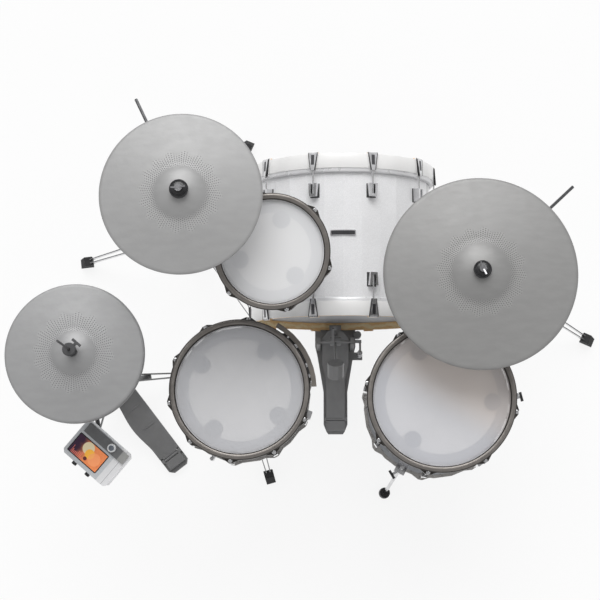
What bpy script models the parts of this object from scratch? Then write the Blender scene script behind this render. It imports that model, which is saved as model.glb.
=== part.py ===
"""Electronic drum kit: mesh-headed drums, sensing cymbals, their stands and pedals, and the sound module.

Metres, +Z up. +X is the drummer's right and +Y points away from the drummer. Places on the floor are given
in the kit's plan, and the whole plan is shifted so that the middle of the kit stands at the origin.
"""

import math

import bmesh
import bpy
from mathutils import Matrix, Vector

# Clearance between pieces that touch or slide
SEAT_GAP = 0.0003

# Plan of the kit, seen from above
PLAN_MIDDLE = (-0.006, 0.6855)
KICK_AT = (0.039, 0.624)
TOM_AT = (-0.1445, 0.722)
SNARE_AT = (-0.238, 0.393)
FLOOR_TOM_AT = (0.298, 0.374)
HIHAT_AT = (-0.650, 0.470)
CRASH_STAND_AT = (-0.3975, 0.893)
RIDE_STAND_AT = (0.4695, 0.7475)
PEDAL_AT = (0.018, 0.319)
HIHAT_HEEL_AT = (-0.454, 0.216)
MODULE_AT = (-0.606, 0.227)

# Heights above the floor of the heads and of the cymbals' edges
TOM_HEIGHT = 0.880
TOM_LEAN = math.radians(9)
SNARE_HEIGHT = 0.661
FLOOR_TOM_HEIGHT = 0.625
HIHAT_HEIGHT = 0.833
CRASH_HEIGHT = 1.000
RIDE_HEIGHT = 0.749
MODULE_BELOW_HIHAT = 0.143
MODULE_HEIGHT = HIHAT_HEIGHT - MODULE_BELOW_HIHAT

# Drums: shell radius, depth, number of lugs and the first lug's angle
TOM_RADIUS = 0.127
TOM_DEPTH = 0.203
TOM_LUGS = 6
TOM_FIRST_LUG = math.radians(-16)
SNARE_RADIUS = 0.165
SNARE_DEPTH = 0.140
SNARE_LUGS = 10
SNARE_FIRST_LUG = math.radians(-25)
FLOOR_TOM_RADIUS = 0.178
FLOOR_TOM_DEPTH = 0.356
FLOOR_TOM_LUGS = 8
FLOOR_TOM_FIRST_LUG = math.radians(-11)
SHELL_WALL = 0.007
LEDGE_DEPTH = 0.026
LEDGE_THICKNESS = 0.012
LEDGE_INNER = 0.030
LUG_LENGTH = 0.050
LUG_WIDTH = 0.020
FILM_THICKNESS = 0.0012
FLESH_RING_WIDTH = 0.0115
FLESH_RING_DEPTH = 0.008
HOOP_INNER = 0.006
HOOP_OUTER = 0.021
HOOP_RISE = 0.0135
HOOP_SKIRT = 0.011
HOOP_ROUNDING = 0.003
EAR_ROOT = 0.0145
EAR_AT = 0.0235
EAR_REACH = 0.029
EAR_ROOT_WIDTH = 0.066
EAR_TIP_WIDTH = 0.012
EAR_TOP = 0.002
EAR_BOTTOM = -0.008
TENSION_ROD_RADIUS = 0.003
PLATE_THICKNESS = 0.004
PLATE_MARGIN = 0.029
PLATE_NOTCH_RADIUS = 0.023
PLATE_NOTCH_INSET = 0.042
DRUM_SIDES = 24
ROD_SIDES = 4

# Snare's rim sensor bar and jack block
RIM_BAR_INNER = 0.191
RIM_BAR_OUTER = 0.204
RIM_BAR_TOP = 0.0105
RIM_BAR_FROM = math.radians(2)
RIM_BAR_TO = math.radians(60)
RIM_PLATE_TOP = 0.006
RIM_PLATE_FROM = math.radians(12)
RIM_PLATE_TO = math.radians(52)
JACK_BLOCK_ANGLE = math.radians(-19)
JACK_BLOCK_SIZE = (0.034, 0.022, 0.045)

# Snare stand
SNARE_STAND_REACH = 0.209
SNARE_STAND_TURN = math.radians(-74.8)
SNARE_BASE_TUBE_TOP = 0.330
SNARE_TUBE_BOTTOM = 0.200
SNARE_HUB_HEIGHT = 0.430
BASKET_ARM_RADIUS = 0.006
BASKET_ARM_ANGLES = (math.radians(29), math.radians(137), math.radians(245))
BASKET_HOOK_HEIGHT = 0.030
BASKET_CLEARANCE = 0.001

# Floor tom's legs
LEG_ANGLES = (math.radians(-119.5), math.radians(3.6), math.radians(112))
LEG_FOOT_TURNS = (0, math.radians(50), math.radians(-40))
LEG_KNOB_TURNS = (math.radians(-30), math.radians(10), math.radians(-100))
LEG_RADIUS = 0.0055
LEG_RISER_OFFSET = 0.030
LEG_TOP = 0.560
LEG_BEND = 0.300
LEG_SPLAY = 0.060
LEG_FOOT_RADIUS = 0.016
LEG_FOOT_HEIGHT = 0.034
LEG_BRACKET_HEIGHT = 0.430
LEG_BRACKET_SIZE = (0.030, 0.046)

# Kick drum, along its own axis from the batter side
KICK_RADIUS = 0.254
KICK_DEPTH = 0.406
KICK_TILT = math.radians(3.35)
KICK_LUGS = 10
KICK_SIDES = 30
KICK_HOOP_RADIUS = 0.267
KICK_HOOP_INNER = 0.2555
KICK_HOOP_WIDTH = 0.041
KICK_HOOP_OVERHANG = 0.023
KICK_FLESH_RADIUS = 0.2595
KICK_FLESH_DEPTH = 0.023
CLAW_WIDTH = 0.028
CLAW_TAPER = 0.5
CLAW_THICKNESS = 0.004
CLAW_LIP = 0.010
CLAW_TAIL = 0.006
KICK_ROD_RADIUS_AT = 0.268
KICK_LUG_INSET = 0.061
KICK_LUG_WIDTH = 0.024
KICK_LUG_LENGTH = 0.036
KICK_LUG_HEIGHT = 0.021
KICK_LUG_ARM = 0.007
TRIGGER_BAR_WIDTH = 0.020
TRIGGER_BAR_THICKNESS = 0.012
TRIGGER_FOAM_RADIUS = 0.045
TRIGGER_FOAM_DEPTH = 0.030
SPUR_ALONG = 0.350
SPUR_FROM_TOP = math.radians(108)
SPUR_PIVOT_RADIUS = 0.285
SPUR_ROD_RADIUS = 0.006
SPUR_TOE_IN = 0.010
SPUR_LEAN = 0.045
SPUR_FOOT_RADIUS = 0.011
SPUR_FOOT_HEIGHT = 0.024
SPUR_BRACKET_SIZE = (0.016, 0.040)

# Cymbals: radius, bell radius, bell height and full rise from the edge
CRASH_RADIUS = 0.2032
CRASH_BELL_RADIUS = 0.070
CRASH_BELL_HEIGHT = 0.022
CRASH_RISE = 0.040
RIDE_RADIUS = 0.254
RIDE_BELL_RADIUS = 0.083
RIDE_BELL_HEIGHT = 0.024
RIDE_RISE = 0.046
HIHAT_RADIUS = 0.1778
HIHAT_BELL_RADIUS = 0.060
HIHAT_BELL_HEIGHT = 0.018
HIHAT_RISE = 0.032
CYMBAL_THICKNESS = 0.0055
CYMBAL_HOLE = 0.0065
CYMBAL_SIDES = 32
HIHAT_SIDES = 26
HIDDEN_SIDES = 20
HIHAT_OPENING = 0.029

# Cymbal stands
BASE_TUBE_RADIUS = 0.0145
TUBE_WALL = 0.0018
TUBE_SIDES = 8
BASE_TUBE_BOTTOM = 0.050
UPPER_COLLAR_RADIUS = 0.026
UPPER_COLLAR_LENGTH = 0.030
LOWER_COLLAR_RADIUS = 0.022
LOWER_COLLAR_LENGTH = 0.020
CLAMP_RADIUS = 0.020
STRUT_SPACING = 0.023
STRUT_FOOT_SPACING = 0.011
STRUT_THICKNESS = 0.003
STRUT_DEPTH = 0.013
FOOT_LENGTH = 0.040
FOOT_WIDTH = 0.028
FOOT_HEIGHT = 0.034
LEG_COLLAR_SHARE = 0.85
BRACE_SHARE = 0.52
CRASH_REACH = 0.357
CRASH_TURN = math.radians(186.5)
CRASH_BASE_TUBE_TOP = 0.740
CRASH_TUBE_BOTTOM = 0.600
CRASH_HEADING = math.radians(-64.7)
CRASH_BOOM_FRONT = 0.055
CRASH_BOOM_TAIL = 0.241
CRASH_BOOM_SLOPE = math.radians(12)
RIDE_REACH = 0.350
RIDE_TURN = math.radians(-23.7)
RIDE_BASE_TUBE_TOP = 0.480
RIDE_TUBE_BOTTOM = 0.340
RIDE_HEADING = math.radians(-136.6)
RIDE_BOOM_FRONT = 0.095
RIDE_BOOM_TAIL = 0.255
RIDE_BOOM_SLOPE = math.radians(4)
BOOM_RADIUS = 0.0042
TILTER_RADIUS = 0.017
TILTER_WIDTH = 0.014
TILTER_OFFSET = 0.008
BOOM_DROP = 0.060
STUD_RADIUS = 0.003
SEAT_HEIGHT = 0.003
SEAT_STEM_RADIUS = 0.0045
NUT_RADIUS = 0.020
NUT_SLEEVE = 0.010
NUT_HEIGHT = 0.026
NUT_CLEARANCE = 0.0026
NUT_CAP = 0.006
NUT_WING_SPAN = 0.036
NUT_WING_TURN = math.radians(70)

# Rack tom's arm on the crash stand
ARM_RADIUS = 0.006
TOM_CLAMP_HEIGHT = 0.690
TOM_CLAMP_RADIUS = 0.024
TOM_CLAMP_LENGTH = 0.040
TOM_PIVOT_DEPTH = 0.100
TOM_BRACKET_SIZE = (0.030, 0.030, 0.040)

# Hi-hat stand and pedal
HIHAT_REACH = 0.200
HIHAT_TURN = math.radians(9)
HIHAT_BASE_TUBE_BOTTOM = 0.080
HIHAT_TUBE_BOTTOM = 0.560
HIHAT_ROD_RADIUS = 0.003
HIHAT_ROD_TOP = 1.075
HIHAT_SEAT_RADIUS = 0.020
HIHAT_SEAT_HEIGHT = 0.012
HIHAT_CUP_CLEARANCE = 0.060
HIHAT_CUP_HEIGHT = HIHAT_HEIGHT - HIHAT_OPENING - HIHAT_RISE - HIHAT_SEAT_HEIGHT
HIHAT_BASE_TUBE_TOP = HIHAT_CUP_HEIGHT - HIHAT_CUP_CLEARANCE
CLUTCH_RADIUS = 0.008
CLUTCH_LENGTH = 0.046
CLUTCH_COLLAR_RADIUS = 0.014
PULL_BLOCK_RADIUS = 0.010
PULL_BLOCK_LENGTH = 0.014
HIHAT_FOOTBOARD_REST = math.radians(7.5)
HIHAT_PEDAL_WIDTH = 0.070
RAIL_WIDTH = 0.010
RAIL_HEIGHT = 0.010

# Kick pedal, from the heel end
PEDAL_PLATE = 0.004
PEDAL_REACH_UNDER_HOOP = 0.020
PEDAL_HALF_WIDTHS = (
    (0.0, 0.022),
    (0.008, 0.028),
    (0.030, 0.0365),
    (0.130, 0.0365),
    (0.240, 0.055),
    (0.270, 0.062),
)
HEEL_BLOCK = (0.056, 0.040, 0.022)
HINGE_RADIUS = 0.006
FOOTBOARD_THICKNESS = 0.006
FOOTBOARD_REST = math.radians(10.2)
FOOTBOARD_LENGTH = 0.268
FOOTBOARD_HEEL_WIDTH = 0.056
FOOTBOARD_TOE_WIDTH = 0.080
AXLE_ALONG = 0.270
AXLE_HEIGHT = 0.125
AXLE_RADIUS = 0.005
POST_SPAN = 0.090
POST_THICKNESS = 0.012
POST_DEPTH = 0.030
LINK_ARM = 0.040
LINK_ARM_REST = math.radians(30)
LINK_THICKNESS = 0.006
LINK_WIDTH = 0.012
PIN_RADIUS = 0.003
BEATER_LENGTH = 0.175
BEATER_REST = math.radians(35)
BEATER_ROD_RADIUS = 0.004
BEATER_HEAD_RADIUS = 0.024
BEATER_HEAD_LENGTH = 0.045
SPRING_SIDE = 0.074
SPRING_ARM = 0.030
SPRING_ARM_WIDTH = 0.006
SPRING_ARM_DEPTH = 0.008
SPRING_RADIUS = 0.007
SPRING_WIRE = 0.0012
SPRING_TURNS = 6
SPRING_STEPS = 8

# Sound module
MODULE_TURN = math.radians(-40.8)
MODULE_SIZE = (0.150, 0.107, 0.034)
MODULE_BAND_WIDTH = 0.030
MODULE_BAND_RISE = 0.006
MODULE_TILT = math.radians(6)
DIAL_ALONG_SHARE = 0.155
DIAL_RADIUS = 0.011
DIAL_HEIGHT = 0.010
MODULE_CLAMP_DROP = 0.100
MODULE_CLAMP_HEIGHT = HIHAT_BASE_TUBE_TOP - MODULE_CLAMP_DROP
MODULE_CLAMP_LENGTH = 0.034


# Shapes, each a bmesh


def polar(radius, angle, height=0.0):
    return Vector((radius * math.cos(angle), radius * math.sin(angle), height))


def lathe(profile, sides, turn=0.0):
    """A turned solid. A profile with an end on the axis is open there, and any other closes on itself."""
    mesh = bmesh.new()
    rings = []
    for radius, height in profile:
        if radius == 0:
            rings.append([mesh.verts.new((0, 0, height))])
            continue
        angles = [turn + 2 * math.pi * step / sides for step in range(sides)]
        rings.append([mesh.verts.new(polar(radius, angle, height)) for angle in angles])
    pairs = list(zip(rings, rings[1:]))
    if len(rings[0]) > 1:
        pairs.append((rings[-1], rings[0]))
    for low, high in pairs:
        for step in range(sides):
            after = (step + 1) % sides
            corners = [low[step % len(low)], low[after % len(low)]]
            corners += [high[after % len(high)], high[step % len(high)]]
            unique = list(dict.fromkeys(corners))
            if len(unique) > 2:
                mesh.faces.new(unique)
    bmesh.ops.recalc_face_normals(mesh, faces=mesh.faces)
    return mesh


def disc(radius, bottom, top, sides, turn=0.0):
    return lathe([(0, bottom), (radius, bottom), (radius, top), (0, top)], sides, turn)


def ring(inner, outer, bottom, top, sides, turn=0.0):
    return lathe([(inner, bottom), (outer, bottom), (outer, top), (inner, top)], sides, turn)


def prism(outline, bottom, top):
    """A flat outline of (x, y) points, extruded upwards."""
    mesh = bmesh.new()
    base = mesh.faces.new([mesh.verts.new((x, y, bottom)) for x, y in outline])
    raised = bmesh.ops.extrude_face_region(mesh, geom=[base])["geom"]
    corners = [item for item in raised if isinstance(item, bmesh.types.BMVert)]
    bmesh.ops.translate(mesh, verts=corners, vec=(0, 0, top - bottom))
    bmesh.ops.recalc_face_normals(mesh, faces=mesh.faces)
    return mesh


def block(low, high):
    """A box between two corners."""
    (x0, y0, z0), (x1, y1, z1) = low, high
    return prism([(x0, y0), (x1, y0), (x1, y1), (x0, y1)], z0, z1)


def sweep(points, radius, sides=8):
    """A round bar along a line of points, mitred at its bends."""
    points = [Vector(point) for point in points]
    mesh = bmesh.new()
    rings = []
    runs = [(after - before).normalized() for before, after in zip(points, points[1:])]
    side = runs[0].orthogonal().normalized()
    for index, point in enumerate(points):
        before = runs[max(index - 1, 0)]
        after = runs[min(index, len(runs) - 1)]
        along = (before + after).normalized()
        side = (side - along * side.dot(along)).normalized()
        other = along.cross(side)
        bend = after - before
        stretch = 1 / max(along.dot(after), 0.5)
        corners = []
        for step in range(sides):
            angle = 2 * math.pi * step / sides
            offset = side * math.cos(angle) + other * math.sin(angle)
            if bend.length > 1e-6:
                inward = (bend - along * bend.dot(along)).normalized()
                offset += inward * offset.dot(inward) * (stretch - 1)
            corners.append(mesh.verts.new(point + offset * radius))
        rings.append(corners)
    for low, high in zip(rings, rings[1:]):
        for step in range(sides):
            after = (step + 1) % sides
            mesh.faces.new([low[step], low[after], high[after], high[step]])
    mesh.faces.new(rings[0])
    mesh.faces.new(rings[-1])
    bmesh.ops.recalc_face_normals(mesh, faces=mesh.faces)
    return mesh


def strut(start, end, thickness, depth):
    """A flat bar standing on edge from one point to another."""
    start, end = Vector(start), Vector(end)
    along = (end - start).normalized()
    side = along.cross(Vector((0, 0, 1))).normalized() * thickness / 2
    up = side.cross(along).normalized() * depth / 2
    mesh = bmesh.new()
    ends = []
    for point in (start, end):
        corners = ((1, 1), (-1, 1), (-1, -1), (1, -1))
        ends.append([mesh.verts.new(point + a * side + b * up) for a, b in corners])
    for step in range(4):
        after = (step + 1) % 4
        mesh.faces.new([ends[0][step], ends[0][after], ends[1][after], ends[1][step]])
    mesh.faces.new(ends[0])
    mesh.faces.new(ends[1])
    bmesh.ops.recalc_face_normals(mesh, faces=mesh.faces)
    return mesh


def moved(mesh, matrix):
    bmesh.ops.transform(mesh, matrix=matrix, verts=mesh.verts)
    return mesh


def shift(x=0.0, y=0.0, z=0.0):
    return Matrix.Translation((x, y, z))


def turned(angle, axis="Z"):
    return Matrix.Rotation(angle, 4, axis)


def side_profile(outline, width):
    """An outline of (along, up) points, extruded to both sides: along is +X and up is +Z."""
    mesh = prism(outline, -width / 2, width / 2)
    return moved(mesh, turned(math.pi / 2, "X"))


# Objects


def clear_scene():
    for obj in list(bpy.data.objects):
        bpy.data.objects.remove(obj, do_unlink=True)


def look(name, colour, roughness, metallic=0.0):
    material = bpy.data.materials.new(name)
    material.use_nodes = True
    shader = material.node_tree.nodes["Principled BSDF"]
    shader.inputs["Base Color"].default_value = (*colour, 1)
    shader.inputs["Roughness"].default_value = roughness
    shader.inputs["Metallic"].default_value = metallic
    return material


def anchor(name, parent, matrix):
    """An empty that pieces hang on. A moving piece's anchor stands on its joint's axis."""
    empty = bpy.data.objects.new(name, None)
    bpy.context.scene.collection.objects.link(empty)
    empty.empty_display_size = 0.05
    empty.parent = parent
    empty.matrix_local = matrix
    return empty


def plain_object(name, shape):
    data = bpy.data.meshes.new(name)
    shape.to_mesh(data)
    shape.free()
    obj = bpy.data.objects.new(name, data)
    bpy.context.scene.collection.objects.link(obj)
    return obj


def combine(body, operation, shapes):
    """Unite shapes with a body, or cut them from it, and keep the result as its mesh."""
    group = bpy.data.collections.new(body.name + "_" + operation)
    bpy.context.scene.collection.children.link(group)
    tools = [plain_object(body.name + "_tool", shape) for shape in shapes]
    for tool in tools:
        bpy.context.scene.collection.objects.unlink(tool)
        group.objects.link(tool)
    modifier = body.modifiers.new(operation, "BOOLEAN")
    modifier.operation = operation
    modifier.solver = "EXACT"
    modifier.operand_type = "COLLECTION"
    modifier.collection = group
    result = bpy.data.meshes.new_from_object(body.evaluated_get(bpy.context.evaluated_depsgraph_get()))
    body.modifiers.clear()
    body.data = result
    for tool in tools:
        bpy.data.objects.remove(tool, do_unlink=True)
    bpy.data.collections.remove(group)


def piece(name, shapes, material, parent, cuts=(), sharp=math.radians(38)):
    """One sub-part: the union of its shapes, less its cuts, hung on its anchor."""
    body = plain_object(name, shapes[0])
    if len(shapes) > 1:
        combine(body, "UNION", shapes[1:])
    if cuts:
        combine(body, "DIFFERENCE", cuts)
    body.data.name = name
    body.data.materials.clear()
    body.data.materials.append(material)
    body.data.shade_smooth()
    body.data.set_sharp_from_angle(angle=sharp)
    body.parent = parent
    return body


# Drums, in their own frame: the head's bearing edge at the origin and the shell below it


def ears(radius, lugs, first_lug, low, high):
    """A tapering ear at each lug, rooted in the hoop's wall."""
    outline = [
        (radius + EAR_ROOT, -EAR_ROOT_WIDTH / 2),
        (radius + EAR_REACH, -EAR_TIP_WIDTH / 2),
        (radius + EAR_REACH, EAR_TIP_WIDTH / 2),
        (radius + EAR_ROOT, EAR_ROOT_WIDTH / 2),
    ]
    spacing = 2 * math.pi / lugs
    return [moved(prism(outline, low, high), turned(first_lug + lug * spacing)) for lug in range(lugs)]


def top_hoop_shapes(radius, lugs, first_lug, rod_length):
    """A cast hoop: a rounded rim over the head, a skirt round the flesh ring, ears and tension rods."""
    inner = radius + HOOP_INNER
    outer = radius + HOOP_OUTER
    under = FILM_THICKNESS + 2 * SEAT_GAP
    skirt_inner = radius + FLESH_RING_WIDTH + SEAT_GAP
    profile = [
        (skirt_inner, -HOOP_SKIRT),
        (outer, -HOOP_SKIRT),
        (outer, HOOP_RISE - HOOP_ROUNDING),
        ((inner + outer) / 2, HOOP_RISE),
        (inner, HOOP_RISE - HOOP_ROUNDING),
        (inner, under),
        (skirt_inner, under),
    ]
    shapes = [lathe(profile, DRUM_SIDES)] + ears(radius, lugs, first_lug, EAR_BOTTOM, EAR_TOP)
    return shapes + tension_rods(radius, lugs, first_lug, 0, rod_length)


def tension_rods(radius, lugs, first_lug, start_height, rod_length):
    rods = []
    for lug in range(lugs):
        foot = polar(radius + EAR_AT, first_lug + lug * 2 * math.pi / lugs)
        start = foot + Vector((0, 0, start_height))
        end = foot - Vector((0, 0, rod_length))
        rods.append(sweep([start, end], TENSION_ROD_RADIUS, ROD_SIDES))
    return rods


def bottom_hoop_shapes(radius, lugs, first_lug, rod_length):
    """The hoop under the drum, drawn as a top hoop and turned over: a plain ring with ears."""
    under = FILM_THICKNESS + 2 * SEAT_GAP
    rim = ring(radius + HOOP_INNER, radius + HOOP_OUTER, under, HOOP_RISE, DRUM_SIDES)
    shapes = [rim] + ears(radius, lugs, first_lug, under + SEAT_GAP, HOOP_RISE - HOOP_ROUNDING)
    return shapes + tension_rods(radius, lugs, first_lug, HOOP_RISE / 2, rod_length)


def head_shape(shell_radius, flesh_radius, flesh_depth, sides):
    """A head: the stretched film and the flesh ring that hangs round the shell's edge."""
    profile = [
        (0, SEAT_GAP),
        (shell_radius + SEAT_GAP, SEAT_GAP),
        (shell_radius + SEAT_GAP, -flesh_depth),
        (flesh_radius, -flesh_depth),
        (flesh_radius, SEAT_GAP + FILM_THICKNESS),
        (0, SEAT_GAP + FILM_THICKNESS),
    ]
    return lathe(profile, sides)


def shell_shapes(radius, depth, lugs, first_lug):
    """A shell with its sensor ledge inside and a double-ended lug at each tension rod."""
    inner = radius - SHELL_WALL
    ledge_inner = inner - LEDGE_INNER
    profile = [
        (radius, -depth),
        (radius, -SHELL_WALL / 2),
        (inner + SHELL_WALL / 4, 0),
        (inner, 0),
        (inner, -LEDGE_DEPTH),
        (ledge_inner, -LEDGE_DEPTH),
        (inner, -LEDGE_DEPTH - LEDGE_THICKNESS),
        (inner, -depth),
    ]
    shapes = [lathe(profile, DRUM_SIDES)]
    reach = EAR_AT + 2 * TENSION_ROD_RADIUS
    for lug in range(lugs):
        angle = first_lug + lug * 2 * math.pi / lugs
        outline = [
            (radius - 0.003, -LUG_WIDTH / 2),
            (radius + reach, -LUG_WIDTH / 3),
            (radius + reach, LUG_WIDTH / 3),
            (radius - 0.003, LUG_WIDTH / 2),
        ]
        middle = -depth / 2
        shapes.append(moved(prism(outline, middle - LUG_LENGTH / 2, middle + LUG_LENGTH / 2), turned(angle)))
    return shapes


def sensor_plate(name, radius, notches, first_notch, material, parent):
    """The disc that carries the sensors, resting on the ledge, with a notch at each of its screws."""
    bottom = -LEDGE_DEPTH + SEAT_GAP
    plate_radius = radius - PLATE_MARGIN
    centre = radius - PLATE_NOTCH_INSET
    half = math.asin(PLATE_NOTCH_RADIUS / plate_radius)
    spacing = 2 * math.pi / notches
    steps = round((spacing - 2 * half) / (2 * math.pi / DRUM_SIDES))
    outline = []
    for notch in range(notches):
        angle = first_notch + notch * spacing
        for step in range(4):
            inward = angle - math.pi / 2 - step * math.pi / 3
            point = polar(centre, angle) + polar(PLATE_NOTCH_RADIUS, inward)
            outline.append((point.x, point.y))
        for step in range(steps + 1):
            point = polar(plate_radius, angle + half + (spacing - 2 * half) * step / steps)
            outline.append((point.x, point.y))
    return piece(name, [prism(outline, bottom, bottom + PLATE_THICKNESS)], material, parent)


def drum(name, radius, depth, lugs, first_lug, notches, first_notch, parent, looks, extras=(), cuts=()):
    """The pieces that every drum has. Extras are more shapes fused with the shell."""
    rod = depth / 2 - LUG_LENGTH / 2 - SEAT_GAP
    shell = shell_shapes(radius, depth, lugs, first_lug) + list(extras)
    piece(name + "_shell", shell, looks["shell"], parent, cuts)
    piece(name + "_top_hoop", top_hoop_shapes(radius, lugs, first_lug, rod), looks["hoop"], parent)
    flesh_radius = radius + FLESH_RING_WIDTH
    head = head_shape(radius, flesh_radius, FLESH_RING_DEPTH, DRUM_SIDES)
    piece(name + "_head", [head], looks["mesh"], parent)
    sensor_plate(name + "_sensor_plate", radius, notches, first_notch, looks["plate"], parent)
    under = anchor(name + "_underside", parent, shift(z=-depth) @ turned(math.pi, "X"))
    piece(name + "_bottom_hoop", bottom_hoop_shapes(radius, lugs, -first_lug, rod), looks["hoop"], under)
    bottom_head = head_shape(radius, flesh_radius, FLESH_RING_DEPTH, DRUM_SIDES)
    piece(name + "_bottom_head", [bottom_head], looks["clear"], under)


# Kick drum, in its own frame: along +Z from the batter hoop's edge, with its top towards -Y


def kick_angle(from_top):
    return from_top - math.pi / 2


def kick_lug_angles():
    spacing = 2 * math.pi / KICK_LUGS
    return [kick_angle(spacing * (lug + 0.5)) for lug in range(KICK_LUGS)]


def kick_place():
    rise = PEDAL_PLATE + SEAT_GAP + KICK_HOOP_RADIUS * math.cos(KICK_TILT)
    return shift(KICK_AT[0], KICK_AT[1], rise) @ turned(KICK_TILT - math.pi / 2, "X")


def kick_length():
    return KICK_DEPTH + 2 * KICK_HOOP_OVERHANG


def from_front():
    """The front side's frame, which mirrors the batter side's along the drum."""
    return shift(z=kick_length()) @ turned(math.pi, "Y")


def kick_lug(angle, along, opening):
    """A bridge lug, U-shaped from above, whose mouth faces its own end of the drum."""
    half = KICK_LUG_WIDTH / 2
    slot_half = half - KICK_LUG_ARM
    back = KICK_LUG_LENGTH
    slot_back = back - KICK_LUG_ARM
    outline = [
        (0, half),
        (0, slot_half),
        (slot_back, slot_half),
        (slot_back, -slot_half),
        (0, -slot_half),
        (0, -half),
        (back, -half + KICK_LUG_ARM / 3),
        (back, half - KICK_LUG_ARM / 3),
    ]
    outline = [(along + opening * x, y) for x, y in outline]
    lug = prism(outline, KICK_RADIUS - 0.003, KICK_RADIUS + KICK_LUG_HEIGHT)
    upright = Matrix(((0, 0, 1, 0), (0, 1, 0, 0), (1, 0, 0, 0), (0, 0, 0, 1)))
    lug = moved(lug, upright)
    bmesh.ops.recalc_face_normals(lug, faces=lug.faces)
    return moved(lug, turned(angle))


def kick_shell_shapes():
    bottom = KICK_HOOP_OVERHANG
    top = KICK_HOOP_OVERHANG + KICK_DEPTH
    shapes = [ring(KICK_RADIUS - SHELL_WALL, KICK_RADIUS, bottom, top, KICK_SIDES, math.pi / KICK_SIDES)]
    for angle in kick_lug_angles():
        shapes.append(kick_lug(angle, bottom + KICK_LUG_INSET, 1))
        shapes.append(kick_lug(angle, top - KICK_LUG_INSET, -1))
    for side in (-1, 1):
        angle = kick_angle(side * SPUR_FROM_TOP)
        width, length = SPUR_BRACKET_SIZE
        inside = KICK_RADIUS - 0.003
        outside = SPUR_PIVOT_RADIUS - SPUR_ROD_RADIUS - SEAT_GAP
        bracket = block((inside, -length / 2, SPUR_ALONG - width), (outside, length / 2, SPUR_ALONG + width))
        shapes.append(moved(bracket, turned(angle)))
    return shapes


def kick_hoop_shapes():
    """A wooden hoop with its claws and tension rods, from the drum's end at z = 0 inwards."""
    ledge = KICK_HOOP_OVERHANG - 2 * SEAT_GAP - FILM_THICKNESS
    rebate = KICK_FLESH_RADIUS + SEAT_GAP
    profile = [
        (KICK_HOOP_INNER, 0),
        (KICK_HOOP_RADIUS, 0),
        (KICK_HOOP_RADIUS, KICK_HOOP_WIDTH),
        (rebate, KICK_HOOP_WIDTH),
        (rebate, ledge),
        (KICK_HOOP_INNER, ledge),
    ]
    shapes = [lathe(profile, KICK_SIDES, math.pi / KICK_SIDES)]
    outside = KICK_HOOP_RADIUS + CLAW_THICKNESS
    tail = KICK_HOOP_WIDTH + CLAW_TAIL
    claw = [
        (KICK_HOOP_RADIUS - CLAW_LIP, -CLAW_THICKNESS),
        (outside - CLAW_THICKNESS, -CLAW_THICKNESS),
        (outside, 0),
        (outside + CLAW_THICKNESS, tail),
        (KICK_FLESH_RADIUS + CLAW_THICKNESS, tail),
    ]
    slot_end = KICK_HOOP_OVERHANG + KICK_LUG_INSET + KICK_LUG_LENGTH - KICK_LUG_ARM - SEAT_GAP
    for angle in kick_lug_angles():
        shape = side_profile(claw, CLAW_WIDTH)
        for corner in shape.verts:
            corner.co.y *= 1 - CLAW_TAPER * max(corner.co.z, 0) / tail
        shapes.append(moved(shape, turned(angle)))
        start = polar(KICK_ROD_RADIUS_AT, angle, tail - CLAW_TAIL / 2)
        end = polar(KICK_ROD_RADIUS_AT, angle, slot_end)
        shapes.append(sweep([start, end], TENSION_ROD_RADIUS, ROD_SIDES))
    return shapes


def kick_trigger_shapes():
    """The trigger: a bar across the shell that presses its foam against the batter head."""
    face = KICK_HOOP_OVERHANG + SEAT_GAP
    foam_end = face + TRIGGER_FOAM_DEPTH
    inside = (KICK_RADIUS - SHELL_WALL) * math.cos(math.pi / KICK_SIDES) - SEAT_GAP
    half = TRIGGER_BAR_WIDTH / 2
    reach = math.sqrt(inside**2 - half**2)
    return [
        block((-reach, -half, foam_end - 0.001), (reach, half, foam_end + TRIGGER_BAR_THICKNESS)),
        disc(TRIGGER_FOAM_RADIUS, face, foam_end, 10),
    ]


def spur(side, kit, looks):
    """A folding spur, in a frame at its pivot whose X axis is the fold's and points away from the shell."""
    at_pivot = kick_place() @ turned(kick_angle(side * SPUR_FROM_TOP))
    at_pivot = at_pivot @ shift(SPUR_PIVOT_RADIUS, 0, SPUR_ALONG)
    pivot = at_pivot.translation
    name = "kick_spur_right" if side > 0 else "kick_spur_left"
    hang = anchor(name + "_pivot", kit, at_pivot)
    foot = Vector((pivot.x - side * SPUR_TOE_IN, pivot.y + SPUR_LEAN, 0))
    knee = foot + Vector((0, 0, SPUR_FOOT_HEIGHT - 0.002))
    upright = [
        sweep([pivot, knee], SPUR_ROD_RADIUS, 6),
        moved(disc(SPUR_FOOT_RADIUS, 0, SPUR_FOOT_HEIGHT, 8), Matrix.Translation(foot)),
    ]
    eye = disc(2 * SPUR_ROD_RADIUS, -SPUR_ROD_RADIUS, SPUR_ROD_RADIUS, 8)
    shapes = [moved(eye, turned(math.pi / 2, "Y"))]
    shapes += [moved(shape, at_pivot.inverted()) for shape in upright]
    piece(name, shapes, looks["chrome"], hang)


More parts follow.
